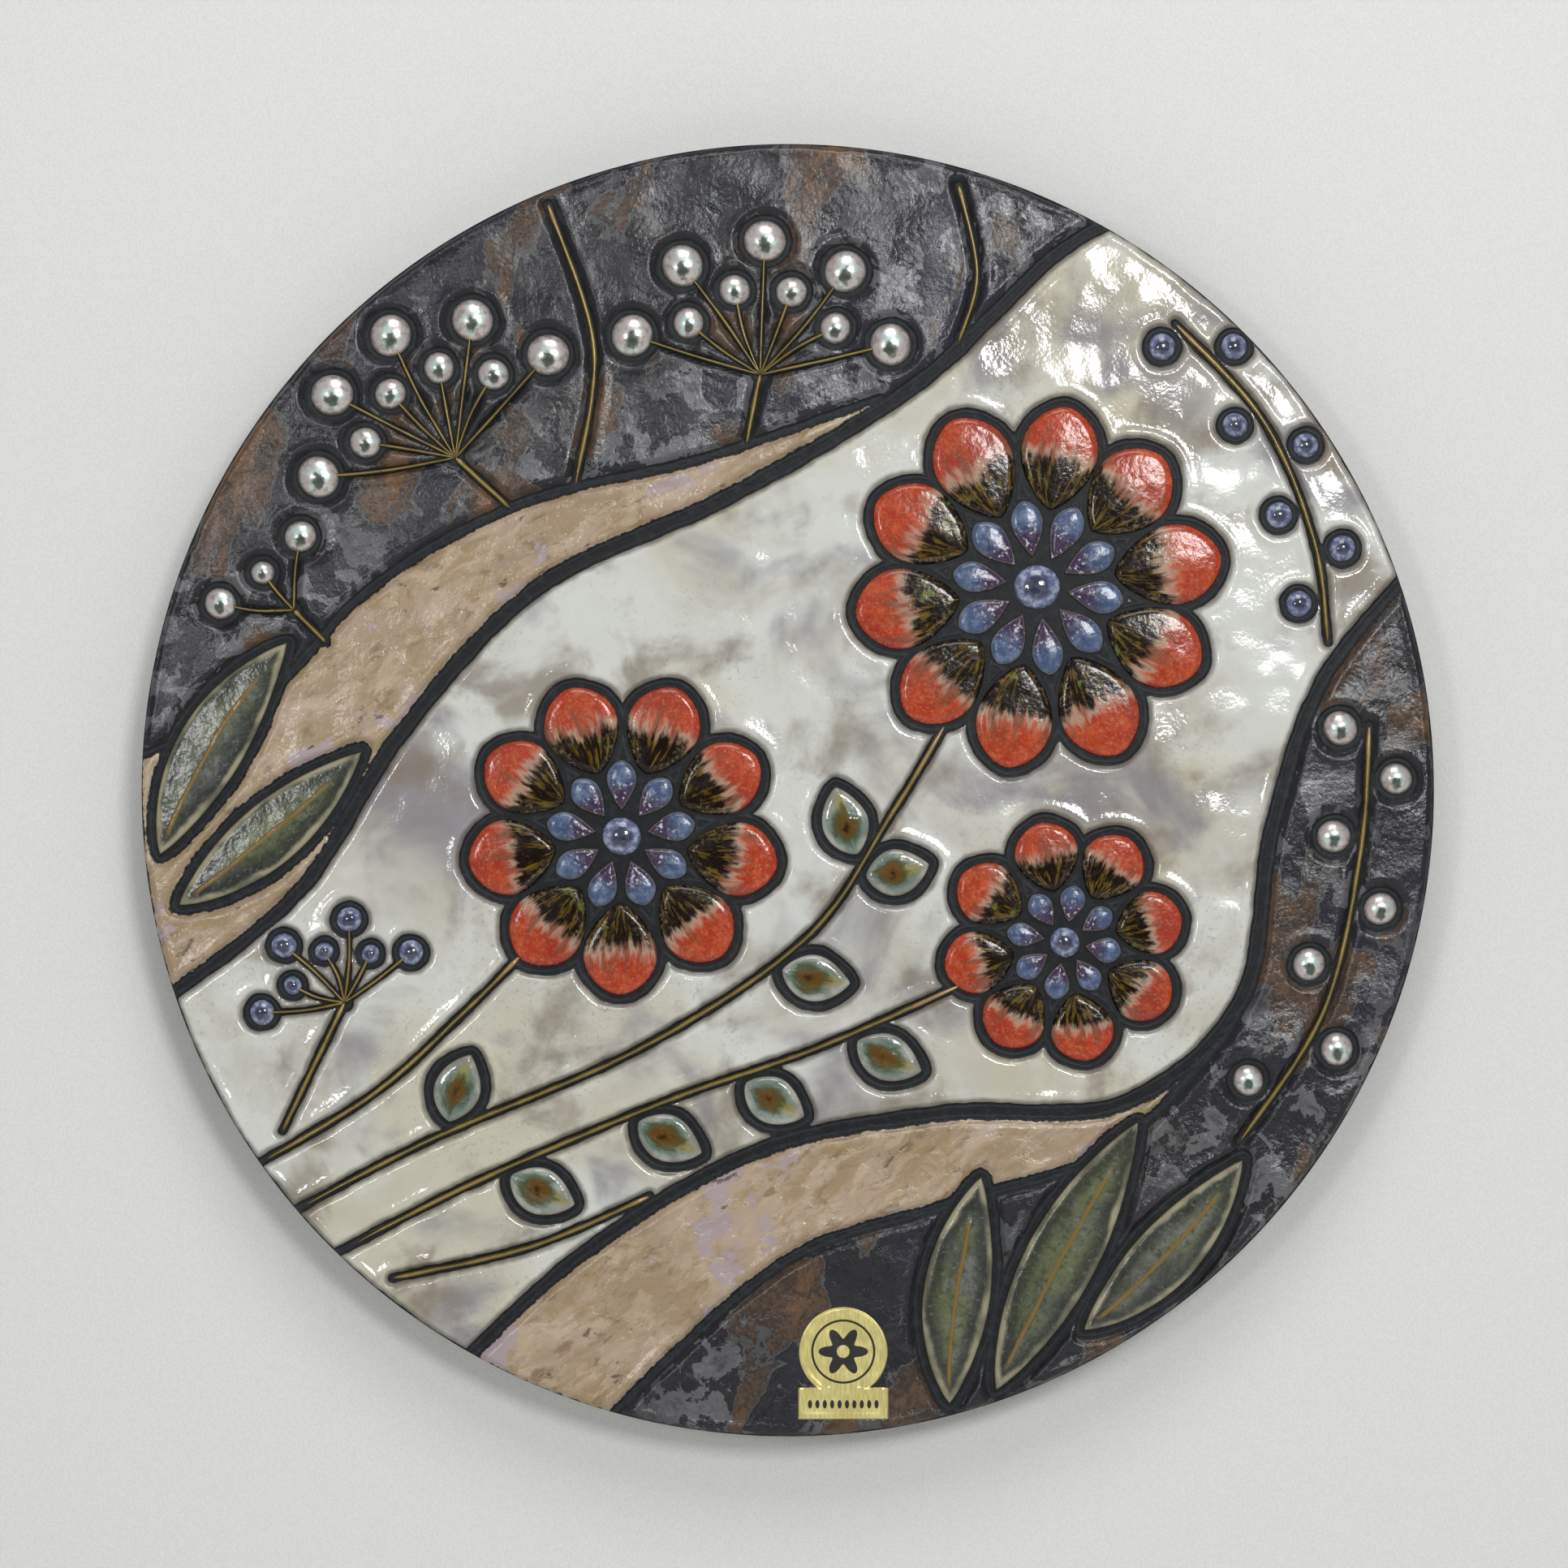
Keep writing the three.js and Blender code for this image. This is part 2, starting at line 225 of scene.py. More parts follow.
# Many grids of one size as one piece: grids holds (points, values) with points of rows x columns x 3
def makeSheets(name, grids, finish):
    rows, columns = grids[0][0].shape[:2]
    cells = gridCells(rows, columns)
    cells = np.concatenate([cells + k * rows * columns for k in range(len(grids))])
    points = np.concatenate([g[0].reshape(-1, 3) for g in grids])
    values = {k: np.concatenate([np.broadcast_to(g[1][k], g[0].shape[:2]).ravel() for g in grids])
              for k in grids[0][1]}
    return makePiece(name, points, cells, values, finish)


# Materials

def srgb(red, green, blue):
    channels = np.array([red, green, blue]) / 255
    linear = np.where(channels <= 0.04045, channels / 12.92, ((channels + 0.055) / 1.055) ** 2.4)
    return (*map(float, linear), 1.0)


def palette(**colours):
    return {name: srgb(*colour) for name, colour in colours.items()}


def plug(tree, socket, value):
    if isinstance(value, Value):
        tree.links.new(value.socket, socket)
    elif value is not None:
        socket.default_value = value


class Value:
    # A socket that takes part in arithmetic. Each operator adds its Math node.
    def __init__(self, tree, socket):
        self.tree, self.socket = tree, socket

    def math(self, operation, other=None, reflected=False):
        node = self.tree.nodes.new("ShaderNodeMath")
        node.operation = operation
        first, second = (other, self) if reflected else (self, other)
        plug(self.tree, node.inputs[0], first)
        plug(self.tree, node.inputs[1], second)
        return Value(self.tree, node.outputs[0])

    def __add__(self, other):
        return self.math("ADD", other)

    def __mul__(self, other):
        return self.math("MULTIPLY", other)

    def __sub__(self, other):
        return self.math("SUBTRACT", other)

    def __rsub__(self, other):
        return self.math("SUBTRACT", other, True)

    def __pow__(self, other):
        return self.math("POWER", other)

    def __abs__(self):
        return self.math("ABSOLUTE")

    __radd__, __rmul__ = __add__, __mul__


class Finish:
    # One material, and the few patterns that its colours are made of. Sizes are in millimetres.
    def __init__(self, name):
        self.material = bpy.data.materials.new(name)
        self.material.use_nodes = True
        self.tree = self.material.node_tree
        self.tree.nodes.clear()
        self.place = self.node("ShaderNodeTexCoord", out="Object")

    def node(self, kind, settings=None, inputs=None, out=0):
        made = self.tree.nodes.new(kind)
        for key, value in (settings or {}).items():
            setattr(made, key, value)
        for key, value in (inputs or {}).items():
            plug(self.tree, made.inputs[key], value)
        return None if out is None else Value(self.tree, made.outputs[out])

    def noise(self, size, detail=2.0, roughness=0.5, distortion=0.0, place=None):
        return self.node("ShaderNodeTexNoise", {}, {
            "Vector": place or self.place, "Scale": 1000 / size, "Detail": detail, "Roughness": roughness,
            "Distortion": distortion}, "Fac")

    def moved(self, amount, size, detail=2.0):
        # the place of each point, pushed about by coloured noise
        push = self.node("ShaderNodeTexNoise", {}, {"Vector": self.place, "Scale": 1000 / size,
                                                     "Detail": detail}, "Color")
        centred = self.vector("SUBTRACT", push, (0.5, 0.5, 0.5))
        return self.vector("ADD", self.place, self.vector("SCALE", centred, None, amount / 1000))

    def drawnOut(self, place, share, degrees):
        # patterns on this place are share times as long in one direction, turned from x up towards z
        return self.node("ShaderNodeMapping", {"vector_type": "TEXTURE"}, {
            "Vector": place, "Rotation": (0, -math.radians(degrees), 0), "Scale": (share, 1, 1)})

    def vector(self, operation, first, second=None, scale=None):
        return self.node("ShaderNodeVectorMath", {"operation": operation}, {0: first, 1: second, 3: scale})

    def joined(self, x, y, z):
        return self.node("ShaderNodeCombineXYZ", {}, {"X": x, "Y": y, "Z": z})

    def held(self, name):
        return self.node("ShaderNodeAttribute", {"attribute_name": name}, {}, "Fac")

    def bladeValues(self):
        return [self.held(name) for name in ("along", "across", "edge", "pick")]

    def step(self, value, low, high):
        return self.node("ShaderNodeMapRange", {"interpolation_type": "SMOOTHSTEP"}, {
            "Value": value, "From Min": low, "From Max": high})

    def fade(self, value, low, high):
        return 1 - self.step(value, low, high)

    def mix(self, share, under, over):
        return self.node("ShaderNodeMix", {"data_type": "RGBA"}, {0: share, 6: under, 7: over}, 2)

    def layered(self, colour, *layers):
        # each layer is its share and its colour, laid over those before it
        for share, over in layers:
            colour = self.mix(share, colour, over)
        return colour

    def bump(self, height, distance, strength=1.0, normal=None):
        return self.node("ShaderNodeBump", {}, {"Height": height, "Distance": distance / 1000,
                                                "Strength": strength, "Normal": normal})

    def gloss(self, colour, roughness, **others):
        # a Principled shader. others are its further sockets, such as Specular_IOR_Level.
        others = {name.replace("_", " "): value for name, value in others.items()}
        return self.node("ShaderNodeBsdfPrincipled", {},
                         {"Base Color": colour, "Roughness": roughness, **others})

    def blend(self, share, under, over):
        return self.node("ShaderNodeMixShader", {}, {0: share, 1: under, 2: over})

    def done(self, surface):
        self.node("ShaderNodeOutputMaterial", {}, {"Surface": surface}, None)
        return self.material

    def shine(self, colour, roughness, **others):
        return self.done(self.gloss(colour, roughness, **others))


bareLine = {"colour": srgb(24, 26, 29), "light": srgb(50, 54, 57), "roughness": 0.42, "specular": 0.12,
            "from": -0.28, "to": -0.03, "crest": -1.1}


# The bare dark lines, where the gap to a line runs out. A low crest runs along each side. It gives how bare
# the place is, and the crest.
def lineShares(f, gap):
    bare = f.fade(gap, bareLine["from"], bareLine["to"])
    crest = f.step(gap, bareLine["crest"] - 0.45, bareLine["crest"])
    return bare, crest * f.fade(gap, bareLine["crest"] + 0.1, bareLine["crest"] + 0.5)


# A glaze, with the duller lines where the ground is bare
def withLines(f, glaze, bare, crest, normal):
    # Lighter grey on the lines: random patches of uneven tone, and along each crest a painted highlight where
    # the raised crest catches the light
    worn = f.step(f.noise(1.6, 3), 0.45, 0.8) * 0.4 + crest * 0.35
    dark = f.mix(worn, bareLine["colour"], bareLine["light"])
    line = f.gloss(dark, bareLine["roughness"], Specular_IOR_Level=bareLine["specular"], Normal=normal)
    return f.done(f.blend(bare, glaze, line))


whiteGlaze = {
    **palette(
        cream=(178, 175, 164), milk=(194, 195, 189), lavender=(118, 114, 122), umber=(124, 113, 100),
        straw=(176, 168, 142), edge=(80, 70, 58), speck=(112, 104, 100)),
    "clouds": 27, "roughness": 0.12, "waves": 0.34, "peel": 0.05,
}


def makeWhiteGlaze():
    f, c = Finish("white_glaze"), whiteGlaze
    gap = f.held("gap")
    drift = f.moved(16, 40)
    clouds = f.step(f.noise(c["clouds"] * 0.7, 4, 0.56, 0.2, drift), 0.50, 0.70)
    specks = f.step(f.noise(0.8, 2), 0.56, 0.76) * f.step(f.noise(40, 2), 0.4, 0.6)
    colour = f.layered(
        c["milk"],
        (f.step(f.noise(30, 4, 0.6, 0.4, drift), 0.42, 0.66), c["cream"]),
        (f.step(f.noise(52, 3, 0.55), 0.46, 0.62) * 0.6, c["straw"]),
        (f.step(f.noise(c["clouds"], 4, 0.52, 0.5), 0.48, 0.68) * 0.8, c["lavender"]),
        (clouds * 0.8, c["umber"]),
        (specks * 0.35, c["speck"]),
        (f.fade(gap + f.noise(4, 3) * 1.2, 0.5, 1.7) * 0.7, c["edge"]))
    bare, crest = lineShares(f, gap)
    peel = f.step(f.noise(18, 2), 0.35, 0.6) * 0.6 + 0.4
    waves = f.noise(24, 2, 0.5, 0.3) * 1.7 + crest * 0.2
    normal = f.bump(waves, c["waves"], 1.0, f.bump(f.noise(0.9, 1) * peel, c["peel"]))
    return withLines(f, f.gloss(colour, c["roughness"], Normal=normal), bare, crest, normal)


pewterGlaze = palette(
    base=(36, 35, 39), pale=(96, 96, 99), dark=(20, 22, 25), violet=(38, 37, 50), rust=(78, 59, 45),
    umber=(50, 40, 34), amber=(104, 74, 44), ash=(88, 87, 86))


def makePewterGlaze():
    f, c = Finish("pewter_glaze"), pewterGlaze
    gap = f.held("gap")
    stirred = f.moved(5, 7, 5)
    web = f.noise(9, 8, 0.78, 0.5, stirred)
    lace = f.noise(7.5, 7, 0.62, 0.4, stirred)
    grain = f.noise(0.8, 3, 0.7)
    blotch = f.step(lace + grain * 0.04, 0.545, 0.565) * (1 - f.step(lace, 0.60, 0.68) * 0.55)
    blotch = blotch * f.step(f.noise(52, 2), 0.40, 0.56)
    island = f.noise(19, 5, 0.55, 0.4, f.drawnOut(stirred, 1.7, 70))
    core = f.mix(f.step(grain * 0.5 + web - 0.25, 0.42, 0.58), c["umber"], c["rust"])
    colour = f.layered(
        c["dark"],
        (f.step(web + grain * 0.08, 0.44, 0.56), c["base"]),
        (f.step(f.noise(40, 3, 0.6), 0.46, 0.62) * 0.55, c["violet"]),
        (blotch * 0.85, c["pale"]),
        (f.step(island, 0.535, 0.545) * f.fade(island, 0.555, 0.565) * 0.6, c["ash"]),
        (f.step(island, 0.56, 0.57), core),
        (f.step(island + web * 0.2, 0.73, 0.80) * 0.6, c["amber"]))
    bare, crest = lineShares(f, gap)
    metal = f.step(web, 0.42, 0.6) * 0.3 * f.fade(island, 0.55, 0.59)
    hammered = f.bump(f.noise(16, 2), 0.5, 1.0, f.bump(f.noise(1.6, 2), 0.12, 1.0))
    normal = f.bump(web + crest * 0.4, 0.16, 0.8, f.bump(grain, 0.05, 0.9, hammered))
    glaze = f.gloss(colour, grain * 0.2 + 0.1, Metallic=metal, Specular_IOR_Level=0.4, Normal=normal)
    return withLines(f, glaze, bare, crest, normal)


tanGlaze = palette(
    base=(146, 126, 101), pink=(166, 146, 126), pit=(66, 50, 40), lilac=(154, 139, 148),
    deep=(112, 91, 66), ochre=(140, 120, 84), cream=(180, 162, 136))


def makeTanGlaze():
    f, c = Finish("tan_glaze"), tanGlaze
    gap = f.held("gap")
    stirred = f.moved(6, 12, 4)
    drawn = f.drawnOut(stirred, 2.2, 34)
    curd = f.step(f.noise(3.6, 4, 0.62, 0.4, drawn), 0.50, 0.60)
    pits = f.step(f.noise(2.6, 3, 0.55, 0, drawn) + (f.noise(20, 2) - 0.5) * 0.4, 0.66, 0.76)
    colour = f.layered(
        c["base"],
        (f.step(f.noise(18, 6, 0.68, 0.4, drawn), 0.42, 0.58), c["pink"]),
        (f.step(f.noise(5, 5, 0.7, 0.6, drawn), 0.48, 0.62) * 0.75, c["ochre"]),
        (f.step(f.noise(3.4, 4, 0.66, 0.4, drawn), 0.54, 0.68) * 0.7, c["deep"]),
        (curd * f.step(f.noise(8, 2), 0.3, 0.6) * 0.5, c["cream"]),
        (f.step(f.noise(22, 6, 0.68, 0.2), 0.56, 0.60) * 0.75, c["lilac"]),
        (pits * 0.8, c["pit"]))
    ragged = gap + f.noise(1.4, 3, 0.7) * 1.2 - 0.6
    bare, crest = lineShares(f, ragged)
    normal = f.bump(crest * 0.4 - pits + f.noise(4, 3) + curd * 0.3, 0.22, 0.9, f.bump(f.noise(0.9, 2), 0.05))
    return withLines(f, f.gloss(colour, 0.24, Normal=normal), bare, crest, normal)


coralGlaze = palette(
    coral=(154, 52, 28), light=(176, 80, 48), pale=(166, 146, 126), brown=(22, 13, 7),
    olive=(96, 76, 24), green=(98, 110, 50), edge=(132, 38, 32), dusk=(104, 66, 48), dust=(128, 104, 84))


def makeCoralGlaze():
    f, c = Finish("coral_glaze"), coralGlaze
    along, across, edge, pick = f.bladeValues()
    # streaks run along the petal: their place is drawn out lengthwise and shifted for each petal
    streak = f.joined(across * 0.012 + pick * 3, along * 0.006, pick * 7)
    streaks = f.noise(1.6, 4, 0.65, 0, streak)
    bands = f.noise(3.4, 2, 0.5, 0, streak)
    level = along + (streaks - 0.5) * 0.42 + (f.noise(7, 3) - 0.5) * 0.3
    fringe = f.fade(level, 0.48, 0.64) * (1 - f.step(bands, 0.46, 0.6) * 0.85)
    root = f.layered(
        c["brown"],
        (f.step(streaks + (f.noise(3, 2) - 0.5) * 0.3, 0.5, 0.64) * 0.9, c["olive"]),
        (f.step(f.noise(0.9, 3), 0.54, 0.64) * f.step(abs(across), 0.3, 0.9) * 0.5, c["dust"]),
        (f.step(f.noise(4, 3), 0.66, 0.74) * 0.7, c["green"]))
    colour = f.layered(
        c["coral"],
        (f.step(f.noise(2.6, 4, 0.7), 0.4, 0.68), c["light"]),
        (f.step(f.noise(11, 2), 0.48, 0.66) * 0.45, c["edge"]),
        (f.step(bands, 0.46, 0.62) * f.fade(level, 0.5, 0.9) * 0.8, c["dusk"]),
        (fringe * 0.9, c["pale"]),
        (f.fade(level, 0.40, 0.54), root),
        (f.fade(edge, 0.05, 0.4) * 0.8, bareLine["colour"]),
        (f.step(f.noise(0.7, 2), 0.52, 0.7) * f.step(level, 0.5, 0.7) * 0.25, c["pale"]))
    normal = f.bump(f.noise(4, 3), 0.16, 0.9, f.bump(f.noise(0.9, 2), 0.04))
    return f.shine(colour, 0.15, Specular_IOR_Level=0.3, Normal=normal)


blueGlaze = palette(
    slate=(60, 76, 106), pale=(94, 108, 134), plum=(56, 38, 64), frost=(170, 174, 184),
    rim=(126, 116, 102))


def makeBlueGlaze():
    f, c = Finish("blue_glaze"), blueGlaze
    along, edge = f.held("along"), f.held("edge")
    grain = f.noise(1.7, 4, 0.7)
    colour = f.layered(
        c["slate"],
        (f.step(grain, 0.42, 0.66), c["pale"]),
        (f.fade(along + grain * 0.5, 0.55, 0.95), c["plum"]),
        (f.step(f.noise(0.9, 3), 0.58, 0.66) * f.fade(along, 0.3, 0.8), c["frost"]),
        (f.fade(edge, 0.25, 0.6) * 0.6, c["rim"]),
        (f.fade(edge, 0.05, 0.3) * 0.9, bareLine["colour"]))
    normal = f.bump(f.noise(2.6, 2), 0.16, 0.9, f.bump(f.noise(0.8, 2), 0.03))
    return f.shine(colour, 0.2, Specular_IOR_Level=0.4, Normal=normal)


leafGlaze = {
    **palette(
        sage=(76, 79, 71), smoke=(32, 35, 33), fresh=(92, 97, 68), rim=(150, 143, 118),
        vein=(118, 92, 42), ash=(112, 113, 110)),
    "inset": 2.2,
}


# A cream rim, a smoky band inside it, and a green middle with an ochre midrib
def makeLeafGlaze():
    f, c = Finish("leaf_glaze"), leafGlaze
    along, across, edge, pick = f.bladeValues()
    drawn = f.joined(across * 0.010 + pick * 3, along * 0.016, pick * 5)
    smudge = f.noise(9, 4, 0.6, 0.3, drawn)
    depth = edge + (f.noise(7, 4) - 0.5) * 3.2
    worn = f.step(f.noise(10, 3), 0.36, 0.6) * 0.7 + 0.25
    vein = f.fade(abs(f.held("offset") + f.noise(14, 2) - 0.5) + f.noise(2.5, 2) * 0.25, 0.42, 0.72)
    vein = vein * f.step(along, 0.06, 0.12) * f.fade(along, 0.76, 0.84)
    colour = f.layered(
        c["sage"],
        (f.step(f.noise(15, 4), 0.40, 0.62), c["fresh"]),
        (f.step(f.noise(6, 5, 0.7) + pick * 0.16 - 0.08, 0.48, 0.64) * 0.6, c["ash"]),
        (f.fade(depth, c["inset"], c["inset"] + 3.0) * 0.75, c["smoke"]),
        (f.step(smudge, 0.5, 0.72) * 0.7, c["smoke"]),
        (f.step(f.noise(1.4, 4, 0.7), 0.46, 0.68) * 0.6, c["smoke"]),
        (f.step(f.noise(1.0, 3, 0.6, 0.4), 0.56, 0.72) * 0.5, c["ash"]),
        (f.fade(depth, c["inset"] - 1.5, c["inset"] - 0.3) * worn, c["rim"]),
        (vein * 0.9, c["vein"]),
        (f.fade(edge, 0.1, 0.5) * 0.9, bareLine["colour"]))
    normal = f.bump(f.noise(5, 3) + vein * 0.9, 0.3, 0.8, f.bump(f.noise(0.9, 2), 0.06))
    return f.shine(colour, 0.2, Specular_IOR_Level=0.4, Normal=normal)


leafletGlaze = palette(
    milk=(160, 158, 148), ash=(112, 110, 102), teal=(84, 112, 104), straw=(140, 130, 76),
    moss=(66, 66, 34), amber=(92, 62, 22), soot=(28, 22, 14))


def makeLeafletGlaze():
    f, c = Finish("leaflet_glaze"), leafletGlaze
    along, across, edge, pick = f.bladeValues()
    drawn = f.joined(across * 0.006 + pick * 3, along * 0.008, pick * 5)
    wave = f.noise(2.4, 4, 0.65, 0.3, drawn) - 0.5
    # a blot near the stem, ragged at its edge, that runs out into yellow towards the tip
    blot = (((along - 0.42) * 2.3) ** 2.0 + (across * 1.15) ** 2.0) ** 0.5 + wave * 1.1
    tail = (((along - 0.66) * 2.6) ** 2.0 + (across * 1.9) ** 2.0) ** 0.5 + wave * 0.9
    colour = f.layered(
        c["milk"],
        (f.step(f.noise(6, 4) + pick * 0.1, 0.46, 0.66) * 0.8, c["ash"]),
        (f.fade(blot, 0.7, 1.1) * 0.75, c["teal"]),
        (f.fade(tail, 0.3, 0.9) * 0.8, c["straw"]),
        (f.fade(blot, 0.5, 0.82) * 0.9, c["moss"]),
        (f.fade(blot + f.noise(4, 2) * 0.3, 0.4, 0.72) * 0.9, c["amber"]),
        (f.fade(blot + f.noise(3, 3) * 0.8, 0.34, 0.62) * 0.85, c["soot"]),
        (f.fade(edge, 0.1, 0.4) * 0.9, bareLine["colour"]))
    normal = f.bump(f.noise(3, 2), 0.16, 0.9, f.bump(f.noise(0.9, 2), 0.03))
    return f.shine(colour, 0.1, Normal=normal)


def makeSilverLustre():
    # pearly, with a mint tint at the top and pinkish flanks. The dark green patch below the middle is a
    # painted reflection of the dark side of the room.
    f = Finish("silver_lustre")
    right, up, down = (f.held(k) for k in ("right", "up", "down"))
    blur = (f.noise(1.3, 3) - 0.5) * 0.7
    # run is the distance from the middle of the painted reflection, a dark patch below the bead's middle
    run = ((right * 1.5) ** 2.0 + ((up + 0.25) * 1.15) ** 2.0) ** 0.5 + blur
    tint = f.layered(
        srgb(190, 180, 176),
        (f.step(f.noise(2.6, 2) + down * 0.3, 0.55, 0.8), srgb(190, 208, 202)),
        (f.step(f.noise(1.5, 3) - down * 0.3, 0.40, 0.58) * 0.6, srgb(136, 114, 104)),
        # the painted reflection of the dark side of the room, dark green
        (f.fade(run, 0.3, 0.62) * 0.92, srgb(44, 54, 40)))
    return f.shine(tint, f.noise(2.2, 3) * 0.12 + 0.2, Metallic=0.5, Coat_Weight=0.5, Coat_Roughness=0.07,
                   Normal=f.bump(f.noise(1.4, 3), 0.08, 0.7))


def makeBerryGlaze():
    f = Finish("berry_glaze")
    down = f.held("down")
    tint = f.layered(
        srgb(88, 94, 126),
        (f.step(f.noise(1.2, 3), 0.4, 0.68), srgb(150, 158, 178)),
        (f.step(down + f.noise(1.5, 2) * 0.3, 0.45, 0.75) * 0.85, srgb(36, 36, 54)))
    return f.shine(tint, 0.08, Specular_IOR_Level=0.6, Normal=f.bump(f.noise(1.4, 3), 0.06, 0.8))


def makeOliveGold():
    f = Finish("olive_gold")
    across = abs(f.held("across") + (f.noise(6, 2) - 0.5) * 0.8)
    tint = f.layered(
        srgb(70, 60, 28),
        (f.step(f.noise(9, 3), 0.38, 0.64), srgb(116, 98, 46)),
        # paler along the top of the thread: a painted highlight
        (f.fade(across, 0.05, 0.3) * 0.5, srgb(160, 134, 76)),
        (f.step(f.held("along") + f.noise(8, 2) * 0.2, 0.9, 1.1), srgb(160, 130, 88)),
        (f.step(across, 0.5, 0.95) * 0.85, srgb(36, 31, 18)),
        (f.step(f.noise(1.2, 3), 0.6, 0.72) * 0.5, srgb(44, 38, 22)))
    return f.shine(tint, 0.24, Metallic=0.2, Normal=f.bump(f.noise(0.8, 2), 0.05, 0.6))


def makeBodyGlaze():
    f = Finish("dark_body")
    band = f.held("band")
    colour = f.layered(
        srgb(38, 36, 37),
        (f.step(f.noise(14, 4), 0.4, 0.7), srgb(62, 54, 48)),
        (f.step(f.noise(2, 3), 0.62, 0.75) * 0.5, srgb(92, 80, 66)))
    clay = f.layered(
        srgb(150, 128, 106),
        (f.step(f.noise(3, 4), 0.4, 0.7), srgb(118, 98, 80)),
        (f.step(f.noise(0.8, 2), 0.66, 0.74) * 0.6, srgb(70, 52, 40)))
    bare = f.step(band + (f.noise(5, 3) - 0.5) * 0.5, 0.4, 0.6)
    return f.shine(f.mix(bare, colour, clay), bare * 0.45 + 0.38, Coat_Weight=(1 - bare) * 0.15,
                   Normal=f.bump(f.noise(0.9, 3), 0.08, 0.8))


def makeGoldFoil():
    # plain foil with a printed rosette in the disc and a row of dots in the bar
    f = Finish("gold_foil")
    x, y = f.held("labelX"), f.held("labelY")
    reach = (x ** 2.0 + y ** 2.0) ** 0.5
    angle = y.math("ARCTAN2", x)
    lobes = (angle * 6).math("COSINE")
    rosette = f.fade(reach - lobes * 1.3, 4.0, 4.15) * f.step(reach, 1.3, 1.45)
    ring = f.step(reach, 6.4, 6.5) * f.fade(reach, 6.9, 7.0)
    dash = (x + 40).math("PINGPONG", 1.6)
    dots = ((dash - 0.8) ** 2.0 + ((y + 11.4) * 0.5) ** 2.0) ** 0.5
    dots = f.fade(dots, 0.42, 0.5) * f.fade(abs(x), 7.9, 8.0)
    brushed = f.noise(2.4, 3, 0.6, 0, f.joined(x * 0.006, y * 0.0008, 0.3))
    ink = (rosette + ring).math("MAXIMUM", dots)
    colour = f.layered(
        srgb(226, 214, 146),
        (f.step(brushed + f.noise(9, 3) * 0.5, 0.6, 0.9), srgb(204, 190, 122)),
        (ink, srgb(22, 19, 16)))
    return f.shine(colour, f.noise(2, 3) * 0.12 + 0.26, Metallic=0.9 - ink * 0.9,
                   Normal=f.bump(f.noise(3, 2) + f.noise(0.5, 2) * 0.3, 0.05, 0.6))


# The design: the same forms and places as the solid's relief

dividers = {
    "ridge": {"width": 4.2, "points": [polar(199), (-106, -22), (-84, 12), (-54, 44), (-12, 64), (28, 88),
                                        (58, 116), polar(59)]},
    "band": {"width": 3.0, "points": [polar(178), (-114, 20), (-90, 44), (-58, 62), (-18, 72), (20, 85)]},
    "shore": {"width": 4.2, "points": [polar(240), (-44, -100), (-6, -78), (34, -70), (72, -68), (98, -46),
                                        (105, -8), (116, 24), polar(20)]},
    "bank": {"width": 3.2, "points": [polar(253), (-2, -103), (34, -90), (70, -78), (95, -53)]},
}
flowers = [
    {"x": 54, "y": 44, "radius": 40, "petals": 10, "turn": 9},
    {"x": -36, "y": -10, "radius": 34, "petals": 9, "turn": 30},
    {"x": 60, "y": -33, "radius": 26.5, "petals": 8, "turn": 12},
]
flowerShape = {
    "heart": 0.45, "well": 1.1, "wellMargin": 0.5, "eye": 0.27, "eyeRise": 0.9,
    "start": 0.94, "fill": 0.77, "parting": 2, "turned": 1.2,
    "smallStart": 0.36, "smallEnd": 1.06, "smallFill": 0.8, "smallParting": 1.85,
}
petalShape = {"belly": 1.22, "fullness": 0.55}
smallPetalShape = {"belly": 1.5, "fullness": 0.6}
seedHeads = [
    {"hub": (-72, 72), "aim": 118, "spread": 140, "count": 9, "reach": 30, "bead": 4.5, "root": (-60, 61)},
    {"hub": (-6, 90), "aim": 88, "spread": 150, "count": 9, "reach": 29, "bead": 4.5, "root": (-9, 75)},
    {"hub": (-107, 39), "aim": 130, "spread": 90, "count": 3, "reach": 16, "bead": 3.4, "root": (-100, 32)},
    {"hub": (-96, -46), "aim": 112, "spread": 150, "count": 7, "reach": 18, "bead": 2.7, "berry": True,
     "root": tuple(polar(214, 132))},
]
headShape = {"hubRadius": 2.2, "shortSpoke": 0.66, "smallBead": 0.74, "wellMargin": 1.7, "dome": 0.22,
             "sway": 0.9}
sprigs = [
    {"points": [(98, -76), (116, -48), (124, -14), (126, 14)], "bead": 3.5, "count": 7,
     "from": 0.14, "to": 0.98},
    {"points": [(117, 32), (114, 54), (103, 80), (84, 101)], "bead": 2.8, "count": 7,
     "from": 0.16, "to": 0.97, "berry": True},
]
stems = [
    {"points": [polar(215), (-90, -66), (-70, -48), (-58, -36)], "leaflets": []},
    {"points": [polar(220), (-78, -76), (-32, -56), (4, -32), (22, -6), (34, 14)],
     "leaflets": [(0.22, 1), (0.55, -1), (0.7, -1), (0.72, 1)]},
    {"points": [polar(225), (-70, -86), (-28, -68), (6, -56), (38, -42)],
     "leaflets": [(0.3, -1), (0.46, -1), (0.62, -1), (0.8, -1)]},
]
leafletShape = {"length": 15, "width": 10.5, "lean": 55, "bend": -14, "belly": 0.9, "fullness": 0.75}
grasses = [
    [(-46, 66), (-42, 96), (-52, 127)],
    [(37, 97), (41, 112), (37, 131)],
    [polar(231, 136), (-56, -99), (-30, -88)],
]
stemShape = {"width": 2.6, "ridge": 1.3, "spokeWidth": 1.82, "spokeRidge": 0.85, "toWell": 0.4}
leafShape = {"belly": 0.95, "fullness": 0.8}
